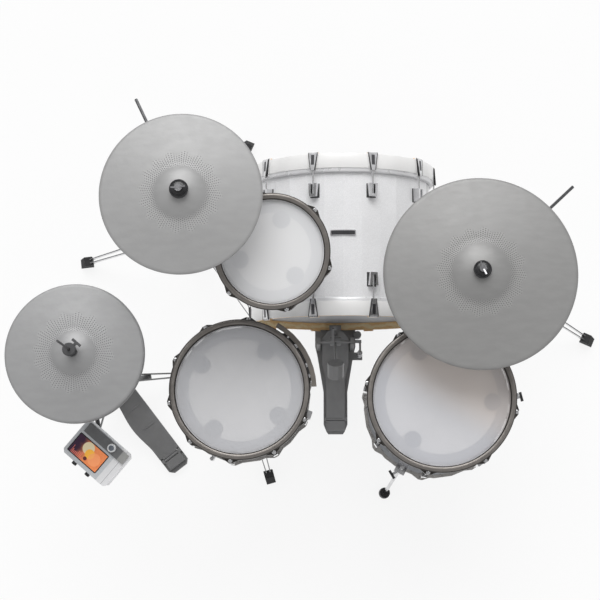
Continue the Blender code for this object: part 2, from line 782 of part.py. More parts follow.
def kick(kit, looks):
    place = anchor("kick_axis", kit, kick_place())
    front = anchor("kick_front", place, from_front())
    piece("kick_shell", kick_shell_shapes(), looks["sparkle"], place)
    piece("kick_batter_hoop", kick_hoop_shapes(), looks["white"], place)
    piece("kick_front_hoop", kick_hoop_shapes(), looks["white"], front)
    piece("kick_trigger", kick_trigger_shapes(), looks["foam"], place)
    edge = shift(z=KICK_HOOP_OVERHANG) @ turned(math.pi, "X")
    head_turn = math.pi / KICK_SIDES
    for name, parent, finish in (("kick_batter_head", place, "mesh"), ("kick_front_head", front, "dark")):
        head = head_shape(KICK_RADIUS, KICK_FLESH_RADIUS, KICK_FLESH_DEPTH, KICK_SIDES)
        moved(head, edge @ turned(head_turn))
        piece(name, [head], looks[finish], parent)
    for side in (-1, 1):
        spur(side, kit, looks)


# Cymbals and their stands


def cymbal_top(radius, bell_radius, bell_height, rise, distance):
    """Height of a cymbal's upper face below its hole: a domed bell, then the bow."""
    if distance <= bell_radius:
        sphere = (bell_radius**2 + bell_height**2) / (2 * bell_height)
        return math.sqrt(sphere**2 - distance**2) - sphere
    share = (distance - bell_radius) / (radius - bell_radius)
    return -bell_height - (rise - bell_height) * share**1.2


def cymbal_profile(radius, bell_radius, bell_height, rise, base, bow_stations):
    """Upper and lower faces from hole to edge. The upper face meets the hole at height base + thickness."""
    stations = [CYMBAL_HOLE, bell_radius * 0.62, bell_radius]
    width = (radius - bell_radius) / bow_stations
    stations += [bell_radius + width * (step + 1) for step in range(bow_stations)]
    upper = []
    for distance in stations:
        drop = cymbal_top(radius, bell_radius, bell_height, rise, distance)
        upper.append((distance, base + CYMBAL_THICKNESS + drop))
    lower = [(distance, height - CYMBAL_THICKNESS) for distance, height in reversed(upper)]
    lower[0] = (radius - CYMBAL_THICKNESS / 2, lower[0][1])
    return upper + [lower[0]] + lower[bow_stations:]


def boot(reach, angle):
    """A rubber boot on a tripod's leg, flat on the floor and longer along the leg."""
    profile = [
        (reach - FOOT_LENGTH * 0.45, 0),
        (reach + FOOT_LENGTH * 0.55, 0),
        (reach + FOOT_LENGTH * 0.15, FOOT_HEIGHT),
        (reach - FOOT_LENGTH * 0.45, FOOT_HEIGHT),
    ]
    return moved(side_profile(profile, FOOT_WIDTH), turned(angle))


def wing_bolt(height, radius, angle):
    """A clamping bolt with its wing, standing out from a collar."""
    start = radius - 0.003
    neck = radius + 0.013
    end = radius + 0.020
    outline = [(start, 0.0035), (start, -0.0035), (neck, -0.0035), (neck, -0.013), (end, -0.013)]
    outline += [(end, 0.013), (neck, 0.013), (neck, 0.0035)]
    return [moved(prism(outline, height - 0.004, height + 0.004), turned(angle))]


def tripod_shapes(reach, turn, tube_top, tube_bottom=BASE_TUBE_BOTTOM):
    """Three double-strut legs with stays, two collars and the base tube, which is open at the top."""
    collar_height = reach * LEG_COLLAR_SHARE
    stay_height = tube_bottom + LOWER_COLLAR_LENGTH / 2
    bore = BASE_TUBE_RADIUS - TUBE_WALL
    mast = [
        (bore, tube_bottom),
        (LOWER_COLLAR_RADIUS, tube_bottom),
        (LOWER_COLLAR_RADIUS, tube_bottom + LOWER_COLLAR_LENGTH),
        (BASE_TUBE_RADIUS, tube_bottom + LOWER_COLLAR_LENGTH),
        (BASE_TUBE_RADIUS, collar_height - UPPER_COLLAR_LENGTH / 2),
        (UPPER_COLLAR_RADIUS, collar_height - UPPER_COLLAR_LENGTH / 2),
        (UPPER_COLLAR_RADIUS, collar_height + UPPER_COLLAR_LENGTH / 2),
        (BASE_TUBE_RADIUS, collar_height + UPPER_COLLAR_LENGTH / 2),
        (BASE_TUBE_RADIUS, tube_top - UPPER_COLLAR_LENGTH),
        (CLAMP_RADIUS, tube_top - UPPER_COLLAR_LENGTH),
        (CLAMP_RADIUS, tube_top),
        (bore, tube_top),
    ]
    shapes = [lathe(mast, TUBE_SIDES)]
    shapes += wing_bolt(tube_top - UPPER_COLLAR_LENGTH / 2, CLAMP_RADIUS, turn + math.pi / 3)
    for leg in range(3):
        angle = turn + leg * 2 * math.pi / 3
        top = Vector((BASE_TUBE_RADIUS + 0.004, 0, collar_height))
        foot = Vector((reach, 0, FOOT_HEIGHT / 2))
        joint = top.lerp(foot, BRACE_SHARE)
        stay_start = Vector((BASE_TUBE_RADIUS + 0.003, 0, stay_height))
        for side in (-1, 1):
            high = top + Vector((0, side * STRUT_SPACING / 2, 0))
            low = foot + Vector((0, side * STRUT_FOOT_SPACING / 2, 0))
            shapes.append(moved(strut(high, low, STRUT_THICKNESS, STRUT_DEPTH), turned(angle)))
        stay_width = STRUT_SPACING + (STRUT_FOOT_SPACING - STRUT_SPACING) * BRACE_SHARE
        shapes.append(moved(strut(stay_start, joint, stay_width, STRUT_THICKNESS), turned(angle)))
        shapes.append(boot(reach, angle))
    return shapes


def sliding_tube_radius():
    return BASE_TUBE_RADIUS - TUBE_WALL - SEAT_GAP


def tilter_disc(side):
    """One cheek of a tilter, with its axis along Y."""
    near = SEAT_GAP / 2
    cheek = disc(TILTER_RADIUS, near, TILTER_WIDTH, 12)
    return moved(cheek, turned(-side * math.pi / 2, "X"))


def cymbal_stand(
    name, at, reach, turn, base_top, tube_bottom, heading, side, boom, cymbal, rim_height, kit, looks
):
    """Tripod, sliding tube, tilting boom, swinging cymbal and its nut."""
    radius, bell_radius, bell_height, rise = cymbal
    front, tail, slope = boom
    offset = side * TILTER_OFFSET
    pivot_height = rim_height + rise - CYMBAL_THICKNESS - SEAT_HEIGHT
    boom_end_height = pivot_height - BOOM_DROP
    tilter_height = boom_end_height - front * math.tan(slope)
    floor = anchor(name + "_stand", kit, shift(*at))
    piece(name + "_tripod", tripod_shapes(reach, turn, base_top), looks["chrome"], floor)

    mast = anchor(name + "_mast", floor, turned(heading))
    tube = sliding_tube_radius()
    neck = tilter_height - TILTER_RADIUS - 2 * SEAT_GAP
    near, far = sorted((-side * SEAT_GAP / 2, -side * TILTER_WIDTH * 0.8))
    shapes = [
        disc(tube, tube_bottom, neck, TUBE_SIDES, -heading),
        block((-0.009, near, neck - 0.001), (0.009, far, tilter_height)),
        moved(tilter_disc(-side), shift(z=tilter_height)),
    ]
    piece(name + "_tube", shapes, looks["chrome"], mast)

    tilter = anchor(name + "_tilter", mast, shift(z=tilter_height))
    drop = math.tan(slope)
    stud_base = Vector((front, offset, front * drop))
    seat = stud_base + Vector((0, 0, BOOM_DROP))
    seat_radius = math.hypot(CYMBAL_HOLE, SEAT_HEIGHT) - 2 * SEAT_GAP
    seat_ball = [(seat_radius * math.sin(a), -seat_radius * math.cos(a)) for a in (0.9, 1.3, 1.75, 2.2)]
    stud_top = SEAT_HEIGHT + CYMBAL_THICKNESS + NUT_CLEARANCE + NUT_HEIGHT - NUT_CAP - SEAT_GAP
    stud = [
        (0, -BOOM_DROP),
        (SEAT_STEM_RADIUS, -BOOM_DROP),
        (SEAT_STEM_RADIUS, -seat_radius),
        *seat_ball,
        (STUD_RADIUS, seat_radius),
        (STUD_RADIUS, stud_top),
        (0, stud_top),
    ]
    rod_start = Vector((-tail, offset, -tail * drop))
    rod_end = stud_base + Vector((TILTER_RADIUS * 0.4, 0, TILTER_RADIUS * 0.4 * drop))
    shapes = [
        tilter_disc(side),
        sweep([rod_start, rod_end], BOOM_RADIUS, 6),
        moved(lathe(stud, 8), Matrix.Translation(seat)),
    ]
    piece(name + "_boom", shapes, looks["chrome"], tilter)

    swing = anchor(name + "_swing", tilter, Matrix.Translation(seat))
    profile = cymbal_profile(radius, bell_radius, bell_height, rise, SEAT_HEIGHT, 2)
    piece(name + "_cymbal", [lathe(profile, CYMBAL_SIDES)], looks["cymbal"], swing, sharp=math.radians(60))

    spin = anchor(name + "_nut_axis", tilter, Matrix.Translation(seat))
    bottom = SEAT_HEIGHT + CYMBAL_THICKNESS + NUT_CLEARANCE
    bore = STUD_RADIUS + SEAT_GAP
    top = bottom + NUT_HEIGHT
    nut = [
        (bore, bottom),
        (NUT_SLEEVE, bottom),
        (NUT_RADIUS, bottom + NUT_HEIGHT * 0.25),
        (NUT_RADIUS, bottom + NUT_HEIGHT * 0.42),
        (NUT_SLEEVE, bottom + NUT_HEIGHT * 0.6),
        (NUT_SLEEVE, top),
        (0, top),
        (0, top - NUT_CAP),
        (bore, top - NUT_CAP),
    ]
    half = NUT_WING_SPAN / 2
    wing = [
        (-half, top + 0.006),
        (-half * 0.6, top - NUT_CAP * 0.8),
        (half * 0.6, top - NUT_CAP * 0.8),
        (half, top + 0.006),
        (0, top - 0.001),
    ]
    shapes = [closed_lathe(nut, 8), moved(side_profile(wing, 0.004), turned(NUT_WING_TURN))]
    piece(name + "_nut", shapes, looks["black"], spin)


def closed_lathe(profile, sides):
    """A turned solid whose profile touches the axis twice: a cap over a blind bore."""
    start = next(i for i in range(len(profile)) if profile[i][0] == 0 and profile[i - 1][0] == 0)
    return lathe(profile[start:] + profile[:start], sides)


# Rack tom on its arm


def tom(kit, looks):
    reach = Vector((TOM_AT[0] - CRASH_STAND_AT[0], TOM_AT[1] - CRASH_STAND_AT[1], 0))
    heading = math.atan2(reach.y, reach.x)
    bracket_depth, bracket_width, bracket_height = TOM_BRACKET_SIZE
    head = shift(*TOM_AT, TOM_HEIGHT) @ turned(TOM_LEAN, "X") @ turned(heading)
    socket = head @ shift(-TOM_RADIUS - bracket_depth, 0, -TOM_PIVOT_DEPTH)
    clamp_place = shift(*CRASH_STAND_AT) @ turned(heading)
    clamp = anchor("tom_clamp_axis", kit, clamp_place)
    clamp_low = TOM_CLAMP_HEIGHT - TOM_CLAMP_LENGTH / 2
    clamp_high = TOM_CLAMP_HEIGHT + TOM_CLAMP_LENGTH / 2
    to_socket = clamp_place.inverted() @ socket
    end = to_socket @ Vector((bracket_depth * 0.7, 0, 0))
    entry = to_socket @ Vector((-0.012, 0, 0))
    arm_path = [
        (TOM_CLAMP_RADIUS - 0.004, 0, TOM_CLAMP_HEIGHT),
        (entry.x * 0.50, entry.y * 0.50, TOM_CLAMP_HEIGHT),
        (entry.x * 0.70, entry.y * 0.70, TOM_CLAMP_HEIGHT + 0.020),
        (entry.x * 0.80, entry.y * 0.80, entry.z - 0.012),
        entry,
        end,
    ]
    shapes = [
        ring(BASE_TUBE_RADIUS + SEAT_GAP, TOM_CLAMP_RADIUS, clamp_low, clamp_high, TUBE_SIDES, -heading),
        sweep(arm_path, ARM_RADIUS, 6),
    ]
    piece("tom_arm", shapes, looks["chrome"], clamp)

    tilt = anchor("tom_tilt_axis", clamp, to_socket)
    place = anchor("tom_centre", tilt, socket.inverted() @ head @ turned(-heading))
    bracket = block(
        (-TOM_RADIUS - bracket_depth, -bracket_width / 2, -TOM_PIVOT_DEPTH - bracket_height / 2),
        (-TOM_RADIUS + 0.003, bracket_width / 2, -TOM_PIVOT_DEPTH + bracket_height / 2),
    )
    bore_start = (-TOM_RADIUS - 2 * bracket_depth, 0, -TOM_PIVOT_DEPTH)
    bore_end = (-TOM_RADIUS - bracket_depth * 0.3 + 2 * SEAT_GAP, 0, -TOM_PIVOT_DEPTH)
    bore = sweep([bore_start, bore_end], ARM_RADIUS + 4 * SEAT_GAP, 6)
    drum(
        "tom", TOM_RADIUS, TOM_DEPTH, TOM_LUGS, TOM_FIRST_LUG, 3, math.radians(82), place, looks,
        extras=[moved(bracket, turned(heading))], cuts=[moved(bore, turned(heading))],
    )


# Snare on its stand


def snare_stand(kit, looks):
    floor = anchor("snare_stand", kit, shift(*SNARE_AT))
    legs = tripod_shapes(SNARE_STAND_REACH, SNARE_STAND_TURN, SNARE_BASE_TUBE_TOP)
    piece("snare_stand_tripod", legs, looks["chrome"], floor)

    mast = anchor("snare_mast", floor, Matrix())
    cheek = TILTER_WIDTH / 2
    neck = SNARE_HUB_HEIGHT - TILTER_RADIUS * 0.7
    tongue = moved(disc(TILTER_RADIUS, -cheek, cheek, 12), turned(math.pi / 2, "Y"))
    pin_hole = sweep([(-0.05, 0, SNARE_HUB_HEIGHT), (0.05, 0, SNARE_HUB_HEIGHT)], PIN_RADIUS + SEAT_GAP)
    shapes = [
        disc(sliding_tube_radius(), SNARE_TUBE_BOTTOM, neck, TUBE_SIDES),
        moved(tongue, shift(z=SNARE_HUB_HEIGHT)),
    ]
    piece("snare_stand_tube", shapes, looks["chrome"], mast, [pin_hole])

    hub = anchor("snare_tilt_axis", mast, shift(z=SNARE_HUB_HEIGHT))
    outer = cheek + SEAT_GAP
    bridge_low = TILTER_RADIUS + SEAT_GAP
    bridge_high = bridge_low + 0.010
    shapes = [block((-outer - 0.006, -0.014, bridge_low), (outer + 0.006, 0.014, bridge_high))]
    for side in (-1, 1):
        low, high = sorted((side * outer, side * (outer + 0.006)))
        shapes.append(block((low, -0.012, -0.010), (high, 0.012, bridge_low + 0.004)))
    shapes.append(sweep([(-outer - 0.003, 0, 0), (outer + 0.003, 0, 0)], PIN_RADIUS))
    hoop_bottom = SNARE_HEIGHT - SNARE_DEPTH - HOOP_RISE - SNARE_HUB_HEIGHT
    rest = hoop_bottom - SEAT_GAP - BASKET_ARM_RADIUS
    hook = SNARE_RADIUS + HOOP_OUTER + BASKET_CLEARANCE + BASKET_ARM_RADIUS
    for angle in BASKET_ARM_ANGLES:
        path = [
            (0.004, 0, bridge_high - 0.004),
            (SNARE_RADIUS * 0.8, 0, rest),
            (hook, 0, rest),
            (hook, 0, rest + BASKET_HOOK_HEIGHT),
        ]
        shapes.append(moved(sweep(path, BASKET_ARM_RADIUS, 6), turned(angle)))
    piece("snare_stand_basket", shapes, looks["chrome"], hub)
    return hub


def arc_bar(inner, outer, start, end, steps, bottom, top):
    """A flat bar bent to a circle. Its facets lie outside the inner radius."""
    angles = [start + (end - start) * step / steps for step in range(steps + 1)]
    inner /= math.cos((end - start) / steps / 2)
    outline = [polar(outer, angle) for angle in angles]
    outline += [polar(inner, angle) for angle in reversed(angles)]
    return prism([(point.x, point.y) for point in outline], bottom, top)


def snare(kit, looks):
    hub = snare_stand(kit, looks)
    place = anchor("snare_centre", hub, shift(z=SNARE_HEIGHT - SNARE_HUB_HEIGHT))
    depth, width, height = JACK_BLOCK_SIZE
    middle = -SNARE_DEPTH / 2
    jack = block(
        (SNARE_RADIUS - 0.003, -width / 2, middle - height / 2),
        (SNARE_RADIUS + depth, width / 2, middle + height / 2),
    )
    drum(
        "snare", SNARE_RADIUS, SNARE_DEPTH, SNARE_LUGS, SNARE_FIRST_LUG, 4, math.radians(34), place, looks,
        extras=[moved(jack, turned(JACK_BLOCK_ANGLE))],
    )
    low = EAR_TOP + SEAT_GAP
    hoop_face = SNARE_RADIUS + HOOP_OUTER + SEAT_GAP
    shapes = [
        arc_bar(RIM_BAR_INNER, RIM_BAR_OUTER, RIM_BAR_FROM, RIM_BAR_TO, 8, low, RIM_BAR_TOP),
        arc_bar(hoop_face, RIM_BAR_INNER + 0.001, RIM_PLATE_FROM, RIM_PLATE_TO, 6, low, RIM_PLATE_TOP),
    ]
    piece("snare_rim_sensor", shapes, looks["housing"], place)


# Floor tom on its legs


def floor_tom(kit, looks):
    floor = anchor("floor_tom_axis", kit, shift(*FLOOR_TOM_AT))
    place = anchor("floor_tom_centre", floor, shift(z=FLOOR_TOM_HEIGHT))
    riser = FLOOR_TOM_RADIUS + LEG_RISER_OFFSET
    width, height = LEG_BRACKET_SIZE
    middle = LEG_BRACKET_HEIGHT - FLOOR_TOM_HEIGHT
    extras = []
    cuts = []
    for number, angle in enumerate(LEG_ANGLES, start=1):
        bracket = block(
            (FLOOR_TOM_RADIUS - 0.003, -width / 2, middle - height / 2),
            (riser + LEG_RADIUS + 0.007, width / 2, middle + height / 2),
        )
        extras.append(moved(bracket, turned(angle)))
        at_riser = turned(angle) @ shift(riser) @ turned(LEG_KNOB_TURNS[number - 1])
        extras += [moved(shape, at_riser) for shape in wing_bolt(middle, LEG_RADIUS + 0.006, 0)]
        at_leg = turned(angle) @ shift(riser) @ turned(LEG_FOOT_TURNS[number - 1])
        bore = sweep([(0, 0, middle - height), (0, 0, middle + height)], LEG_RADIUS + SEAT_GAP, 6)
        cuts.append(moved(bore, at_leg))
        path = [
            (0, 0, LEG_TOP),
            (0, 0, LEG_BEND),
            (LEG_SPLAY * 0.9, 0, LEG_FOOT_HEIGHT + 0.020),
            (LEG_SPLAY, 0, LEG_FOOT_HEIGHT - 0.004),
        ]
        rod = moved(sweep(path, LEG_RADIUS, 6), at_leg)
        foot = moved(disc(LEG_FOOT_RADIUS, 0, LEG_FOOT_HEIGHT, 10), at_leg @ shift(LEG_SPLAY))
        piece(f"floor_tom_leg_{number}", [rod, foot], looks["chrome"], floor)
    drum(
        "floor_tom", FLOOR_TOM_RADIUS, FLOOR_TOM_DEPTH, FLOOR_TOM_LUGS, FLOOR_TOM_FIRST_LUG,
        3, math.radians(113),
        place, looks, extras=extras, cuts=cuts,
    )


# Hi-hat


def hihat(kit, looks):
    floor = anchor("hihat_stand", kit, shift(*HIHAT_AT))
    shapes = tripod_shapes(HIHAT_REACH, HIHAT_TURN, HIHAT_BASE_TUBE_TOP, HIHAT_BASE_TUBE_BOTTOM)
    piece("hihat_tripod", shapes, looks["grey"], floor)

    bottom_rim = HIHAT_HEIGHT - HIHAT_OPENING
    seat_top = bottom_rim - HIHAT_RISE
    mast = anchor("hihat_mast", floor, Matrix())
    tube = sliding_tube_radius()
    rod_bore = HIHAT_ROD_RADIUS + SEAT_GAP
    cup = seat_top - HIHAT_SEAT_HEIGHT
    tube_profile = [
        (rod_bore, HIHAT_TUBE_BOTTOM),
        (tube, HIHAT_TUBE_BOTTOM),
        (tube, cup),
        (HIHAT_SEAT_RADIUS, cup + 0.004),
        (HIHAT_SEAT_RADIUS, seat_top - SEAT_GAP),
        (CYMBAL_HOLE - SEAT_GAP, seat_top - SEAT_GAP),
        (CYMBAL_HOLE - SEAT_GAP, seat_top + CYMBAL_THICKNESS),
        (rod_bore, seat_top + CYMBAL_THICKNESS),
    ]
    piece("hihat_tube", [lathe(tube_profile, TUBE_SIDES)], looks["grey"], mast)
    low_cymbal = cymbal_profile(HIHAT_RADIUS, HIHAT_BELL_RADIUS, HIHAT_BELL_HEIGHT, HIHAT_RISE, 0, 1)
    flipped = [(distance, seat_top + CYMBAL_THICKNESS - height) for distance, height in low_cymbal]
    lower = [lathe(flipped, HIDDEN_SIDES)]
    piece("hihat_bottom_cymbal", lower, looks["cymbal"], mast, sharp=math.radians(60))

    pull = anchor("hihat_pull_axis", floor, Matrix())
    pull_low = hihat_toe_height() + SEAT_GAP
    pull_high = pull_low + PULL_BLOCK_LENGTH
    rod = [
        (0, pull_low),
        (PULL_BLOCK_RADIUS, pull_low),
        (PULL_BLOCK_RADIUS, pull_high),
        (HIHAT_ROD_RADIUS, pull_high),
        (HIHAT_ROD_RADIUS, HIHAT_ROD_TOP),
        (0, HIHAT_ROD_TOP),
    ]
    piece("hihat_rod", [lathe(rod, TUBE_SIDES)], looks["grey"], pull)

    top = anchor("hihat_top_axis", pull, Matrix())
    bell_base = HIHAT_HEIGHT + HIHAT_RISE - CYMBAL_THICKNESS
    high_cymbal = cymbal_profile(HIHAT_RADIUS, HIHAT_BELL_RADIUS, HIHAT_BELL_HEIGHT, HIHAT_RISE, bell_base, 1)
    piece("hihat_top_cymbal", [lathe(high_cymbal, HIHAT_SIDES)], looks["cymbal"], top, sharp=math.radians(60))
    above = bell_base + CYMBAL_THICKNESS + SEAT_GAP
    below = bell_base - SEAT_GAP
    sleeve = CYMBAL_HOLE - SEAT_GAP
    clutch = [
        (rod_bore, below - 0.010),
        (CLUTCH_COLLAR_RADIUS, below - 0.010),
        (CLUTCH_COLLAR_RADIUS, below - 0.002),
        (sleeve, below),
        (sleeve, above),
        (CLUTCH_COLLAR_RADIUS, above),
        (CLUTCH_COLLAR_RADIUS, above + 0.010),
        (CLUTCH_RADIUS, above + 0.010),
        (CLUTCH_RADIUS, above + CLUTCH_LENGTH),
        (rod_bore, above + CLUTCH_LENGTH),
    ]
    wing = wing_bolt(above + CLUTCH_LENGTH * 0.7, CLUTCH_RADIUS, math.radians(50))
    piece("hihat_clutch", [lathe(clutch, TUBE_SIDES)] + wing, looks["grey"], top)


def hihat_toe_height():
    """Height of the footboard's top where its toe ends, under the pull rod."""
    hinge_along, hinge_height = pedal_hinge()
    length = math.dist(HIHAT_AT, HIHAT_HEEL_AT) - hinge_along + PULL_BLOCK_RADIUS * 0.6
    rest = HIHAT_FOOTBOARD_REST
    return hinge_height + length * math.sin(rest) + HINGE_RADIUS * math.cos(rest)


def hihat_pedal(kit, looks):
    to_tube = Vector((HIHAT_AT[0] - HIHAT_HEEL_AT[0], HIHAT_AT[1] - HIHAT_HEEL_AT[1], 0))
    distance = to_tube.length
    heading = math.atan2(to_tube.y, to_tube.x)
    floor = anchor("hihat_pedal_floor", kit, shift(*HIHAT_HEEL_AT) @ turned(heading - math.pi / 2))
    half = HIHAT_PEDAL_WIDTH / 2
    block_width, block_length, block_height = HEEL_BLOCK
    hinge_along, hinge_height = pedal_hinge()
    rail_end = distance - LOWER_COLLAR_RADIUS
    heel = [(-half, 0.012), (-half + 0.012, 0), (half - 0.012, 0)]
    heel += [(half, 0.012), (half, block_length), (-half, block_length)]
    shapes = [
        prism(heel, 0, block_height * 0.6),
        block((-block_width / 2, block_length * 0.3, 0.004), (block_width / 2, block_length, block_height)),
        block((-half, rail_end - 0.014, 0), (half, rail_end, RAIL_HEIGHT)),
    ]
    cheek = half - RAIL_WIDTH
    for side in (-1, 1):
        low, high = sorted((side * cheek, side * half))
        shapes.append(block((low, block_length - 0.006, 0), (high, rail_end - 0.001, RAIL_HEIGHT)))
        low, high = sorted((side * (cheek + SEAT_GAP), side * half))
        near = (low, hinge_along - HINGE_RADIUS, RAIL_HEIGHT - 0.002)
        shapes.append(block(near, (high, hinge_along + HINGE_RADIUS, block_height)))
        foot = (side * (half - 0.004), rail_end - 0.005, 0.004)
        top = (side * (LOWER_COLLAR_RADIUS + 0.005), distance, HIHAT_BASE_TUBE_BOTTOM - 0.006)
        post = strut(foot, top, 0.008, 0.010)
        shapes.append(post)
    pin_ends = [(end, hinge_along, hinge_height) for end in (-half + 0.003, half - 0.003)]
    pin = sweep(pin_ends, PIN_RADIUS)
    shapes.append(pin)
    under_tube = HIHAT_BASE_TUBE_BOTTOM - SEAT_GAP
    yoke_outer = LOWER_COLLAR_RADIUS + 0.008
    yoke = ring(BASE_TUBE_RADIUS * 0.9, yoke_outer, HIHAT_BASE_TUBE_BOTTOM - 0.012, under_tube, TUBE_SIDES)
    yoke = moved(yoke, shift(0, distance))
    shapes.append(yoke)
    piece("hihat_pedal_frame", shapes, looks["grey"], floor)

    treadle = anchor("hihat_treadle_axis", floor, shift(0, hinge_along, hinge_height))
    toe = distance - hinge_along + PULL_BLOCK_RADIUS * 0.6
    footboard("hihat_footboard", toe, HIHAT_FOOTBOARD_REST, cheek - SEAT_GAP, cheek - 0.004, treadle, looks)


def footboard(name, length, rest, heel_half, toe_half, parent, looks, slot=0.0):
    """A tread from its hinge barrel forwards, tilted up to its rest angle, with grip bars across it."""
    top = HINGE_RADIUS
    under = top - FOOTBOARD_THICKNESS
    outline = [
        (-heel_half, 0.004),
        (-heel_half, length * 0.45),
        (-toe_half, length * 0.62),
        (-toe_half, length * 0.92),
        (-toe_half * 0.55, length),
        (toe_half * 0.55, length),
        (toe_half, length * 0.92),
        (toe_half, length * 0.62),
        (heel_half, length * 0.45),
        (heel_half, 0.004),
    ]
    barrel = sweep([(-heel_half, 0, 0), (heel_half, 0, 0)], HINGE_RADIUS)
    shapes = [prism(outline, under, top), barrel]
    for step in range(2):
        along = length * (0.40 + 0.25 * step)
        half = heel_half * 0.72
        shapes.append(block((-half, along, top - 0.001), (half, along + 0.006, top + 0.0015)))
    cuts = [sweep([(-heel_half - 0.01, 0, 0), (heel_half + 0.01, 0, 0)], PIN_RADIUS + SEAT_GAP)]
    if slot:
        cuts.append(block((-slot, length - 0.016, under - 0.01), (slot, length + 0.02, top + 0.01)))
    tilt = turned(rest, "X")
    shapes = [moved(shape, tilt) for shape in shapes]
    cuts = [moved(cut, tilt) for cut in cuts]
    piece(name, shapes, looks["grey"], parent, cuts)


# Kick pedal


def pedal_hinge():
    """The footboard's hinge, from the heel end and above the floor."""
    return HEEL_BLOCK[1] + HINGE_RADIUS + SEAT_GAP, HEEL_BLOCK[2] - HINGE_RADIUS


def pedal_frame_shapes():
    hoop_edge = KICK_AT[1] + KICK_HOOP_RADIUS * math.sin(KICK_TILT) - PEDAL_AT[1]
    plate_end = hoop_edge + PEDAL_REACH_UNDER_HOOP
    right = [(half, along) for along, half in PEDAL_HALF_WIDTHS]
    right.append((PEDAL_HALF_WIDTHS[-1][1], plate_end))
    outline = right + [(-x, y) for x, y in reversed(right)]
    block_width, block_length, block_height = HEEL_BLOCK
    hinge_along, hinge_height = pedal_hinge()
    half = block_width / 2
    shapes = [
        prism(outline, 0, PEDAL_PLATE),
        block((-half, 0.010, PEDAL_PLATE - 0.001), (half, block_length, block_height)),
    ]
    for side in (-1, 1):
        low, high = sorted((side * (half + SEAT_GAP), side * (half + 0.008)))
        near = (low, hinge_along - HINGE_RADIUS, PEDAL_PLATE - 0.001)
        shapes.append(block(near, (high, hinge_along + HINGE_RADIUS, block_height)))
        post_in = POST_SPAN / 2
        low, high = sorted((side * post_in, side * (post_in + POST_THICKNESS)))
        post = [
            (AXLE_ALONG - POST_DEPTH / 2, PEDAL_PLATE - 0.001),
            (AXLE_ALONG + POST_DEPTH / 2, PEDAL_PLATE - 0.001),
            (AXLE_ALONG + POST_DEPTH / 3, AXLE_HEIGHT + 0.012),
            (AXLE_ALONG - POST_DEPTH / 3, AXLE_HEIGHT + 0.012),
        ]
        upright = side_profile(post, POST_THICKNESS)
        turned_post = moved(upright, shift((low + high) / 2) @ turned(math.pi / 2))
        shapes.append(turned_post)
    pin_ends = [(end, hinge_along, hinge_height) for end in (-half - 0.005, half + 0.005)]
    shapes.append(sweep(pin_ends, PIN_RADIUS))
    jaw_front = hoop_edge - 0.002
    jaw_half = 0.018
    aside = abs(KICK_AT[0] - PEDAL_AT[0]) + jaw_half
    inside = KICK_HOOP_INNER * math.cos(math.pi / KICK_SIDES)
    jaw_low = kick_place().translation.z - math.sqrt(inside**2 - aside**2) * math.cos(KICK_TILT) + 0.0014
    jaw_high = jaw_low + 0.008
    shapes.append(block((-jaw_half, jaw_front - 0.018, PEDAL_PLATE - 0.001), (jaw_half, jaw_front, jaw_high)))
    shapes.append(block((-jaw_half, jaw_front - 0.002, jaw_low), (jaw_half, jaw_front + 0.014, jaw_high)))
    ear_low = AXLE_ALONG - SPRING_ARM - 0.012
    shapes.append(block((0.050, ear_low, 0), (SPRING_SIDE + 0.009, ear_low + 0.024, PEDAL_PLATE)))
    knob = disc(0.012, 0, 0.026, 12)
    shapes.append(moved(knob, shift(SPRING_SIDE - 0.006, AXLE_ALONG + 0.034)))
    return shapes


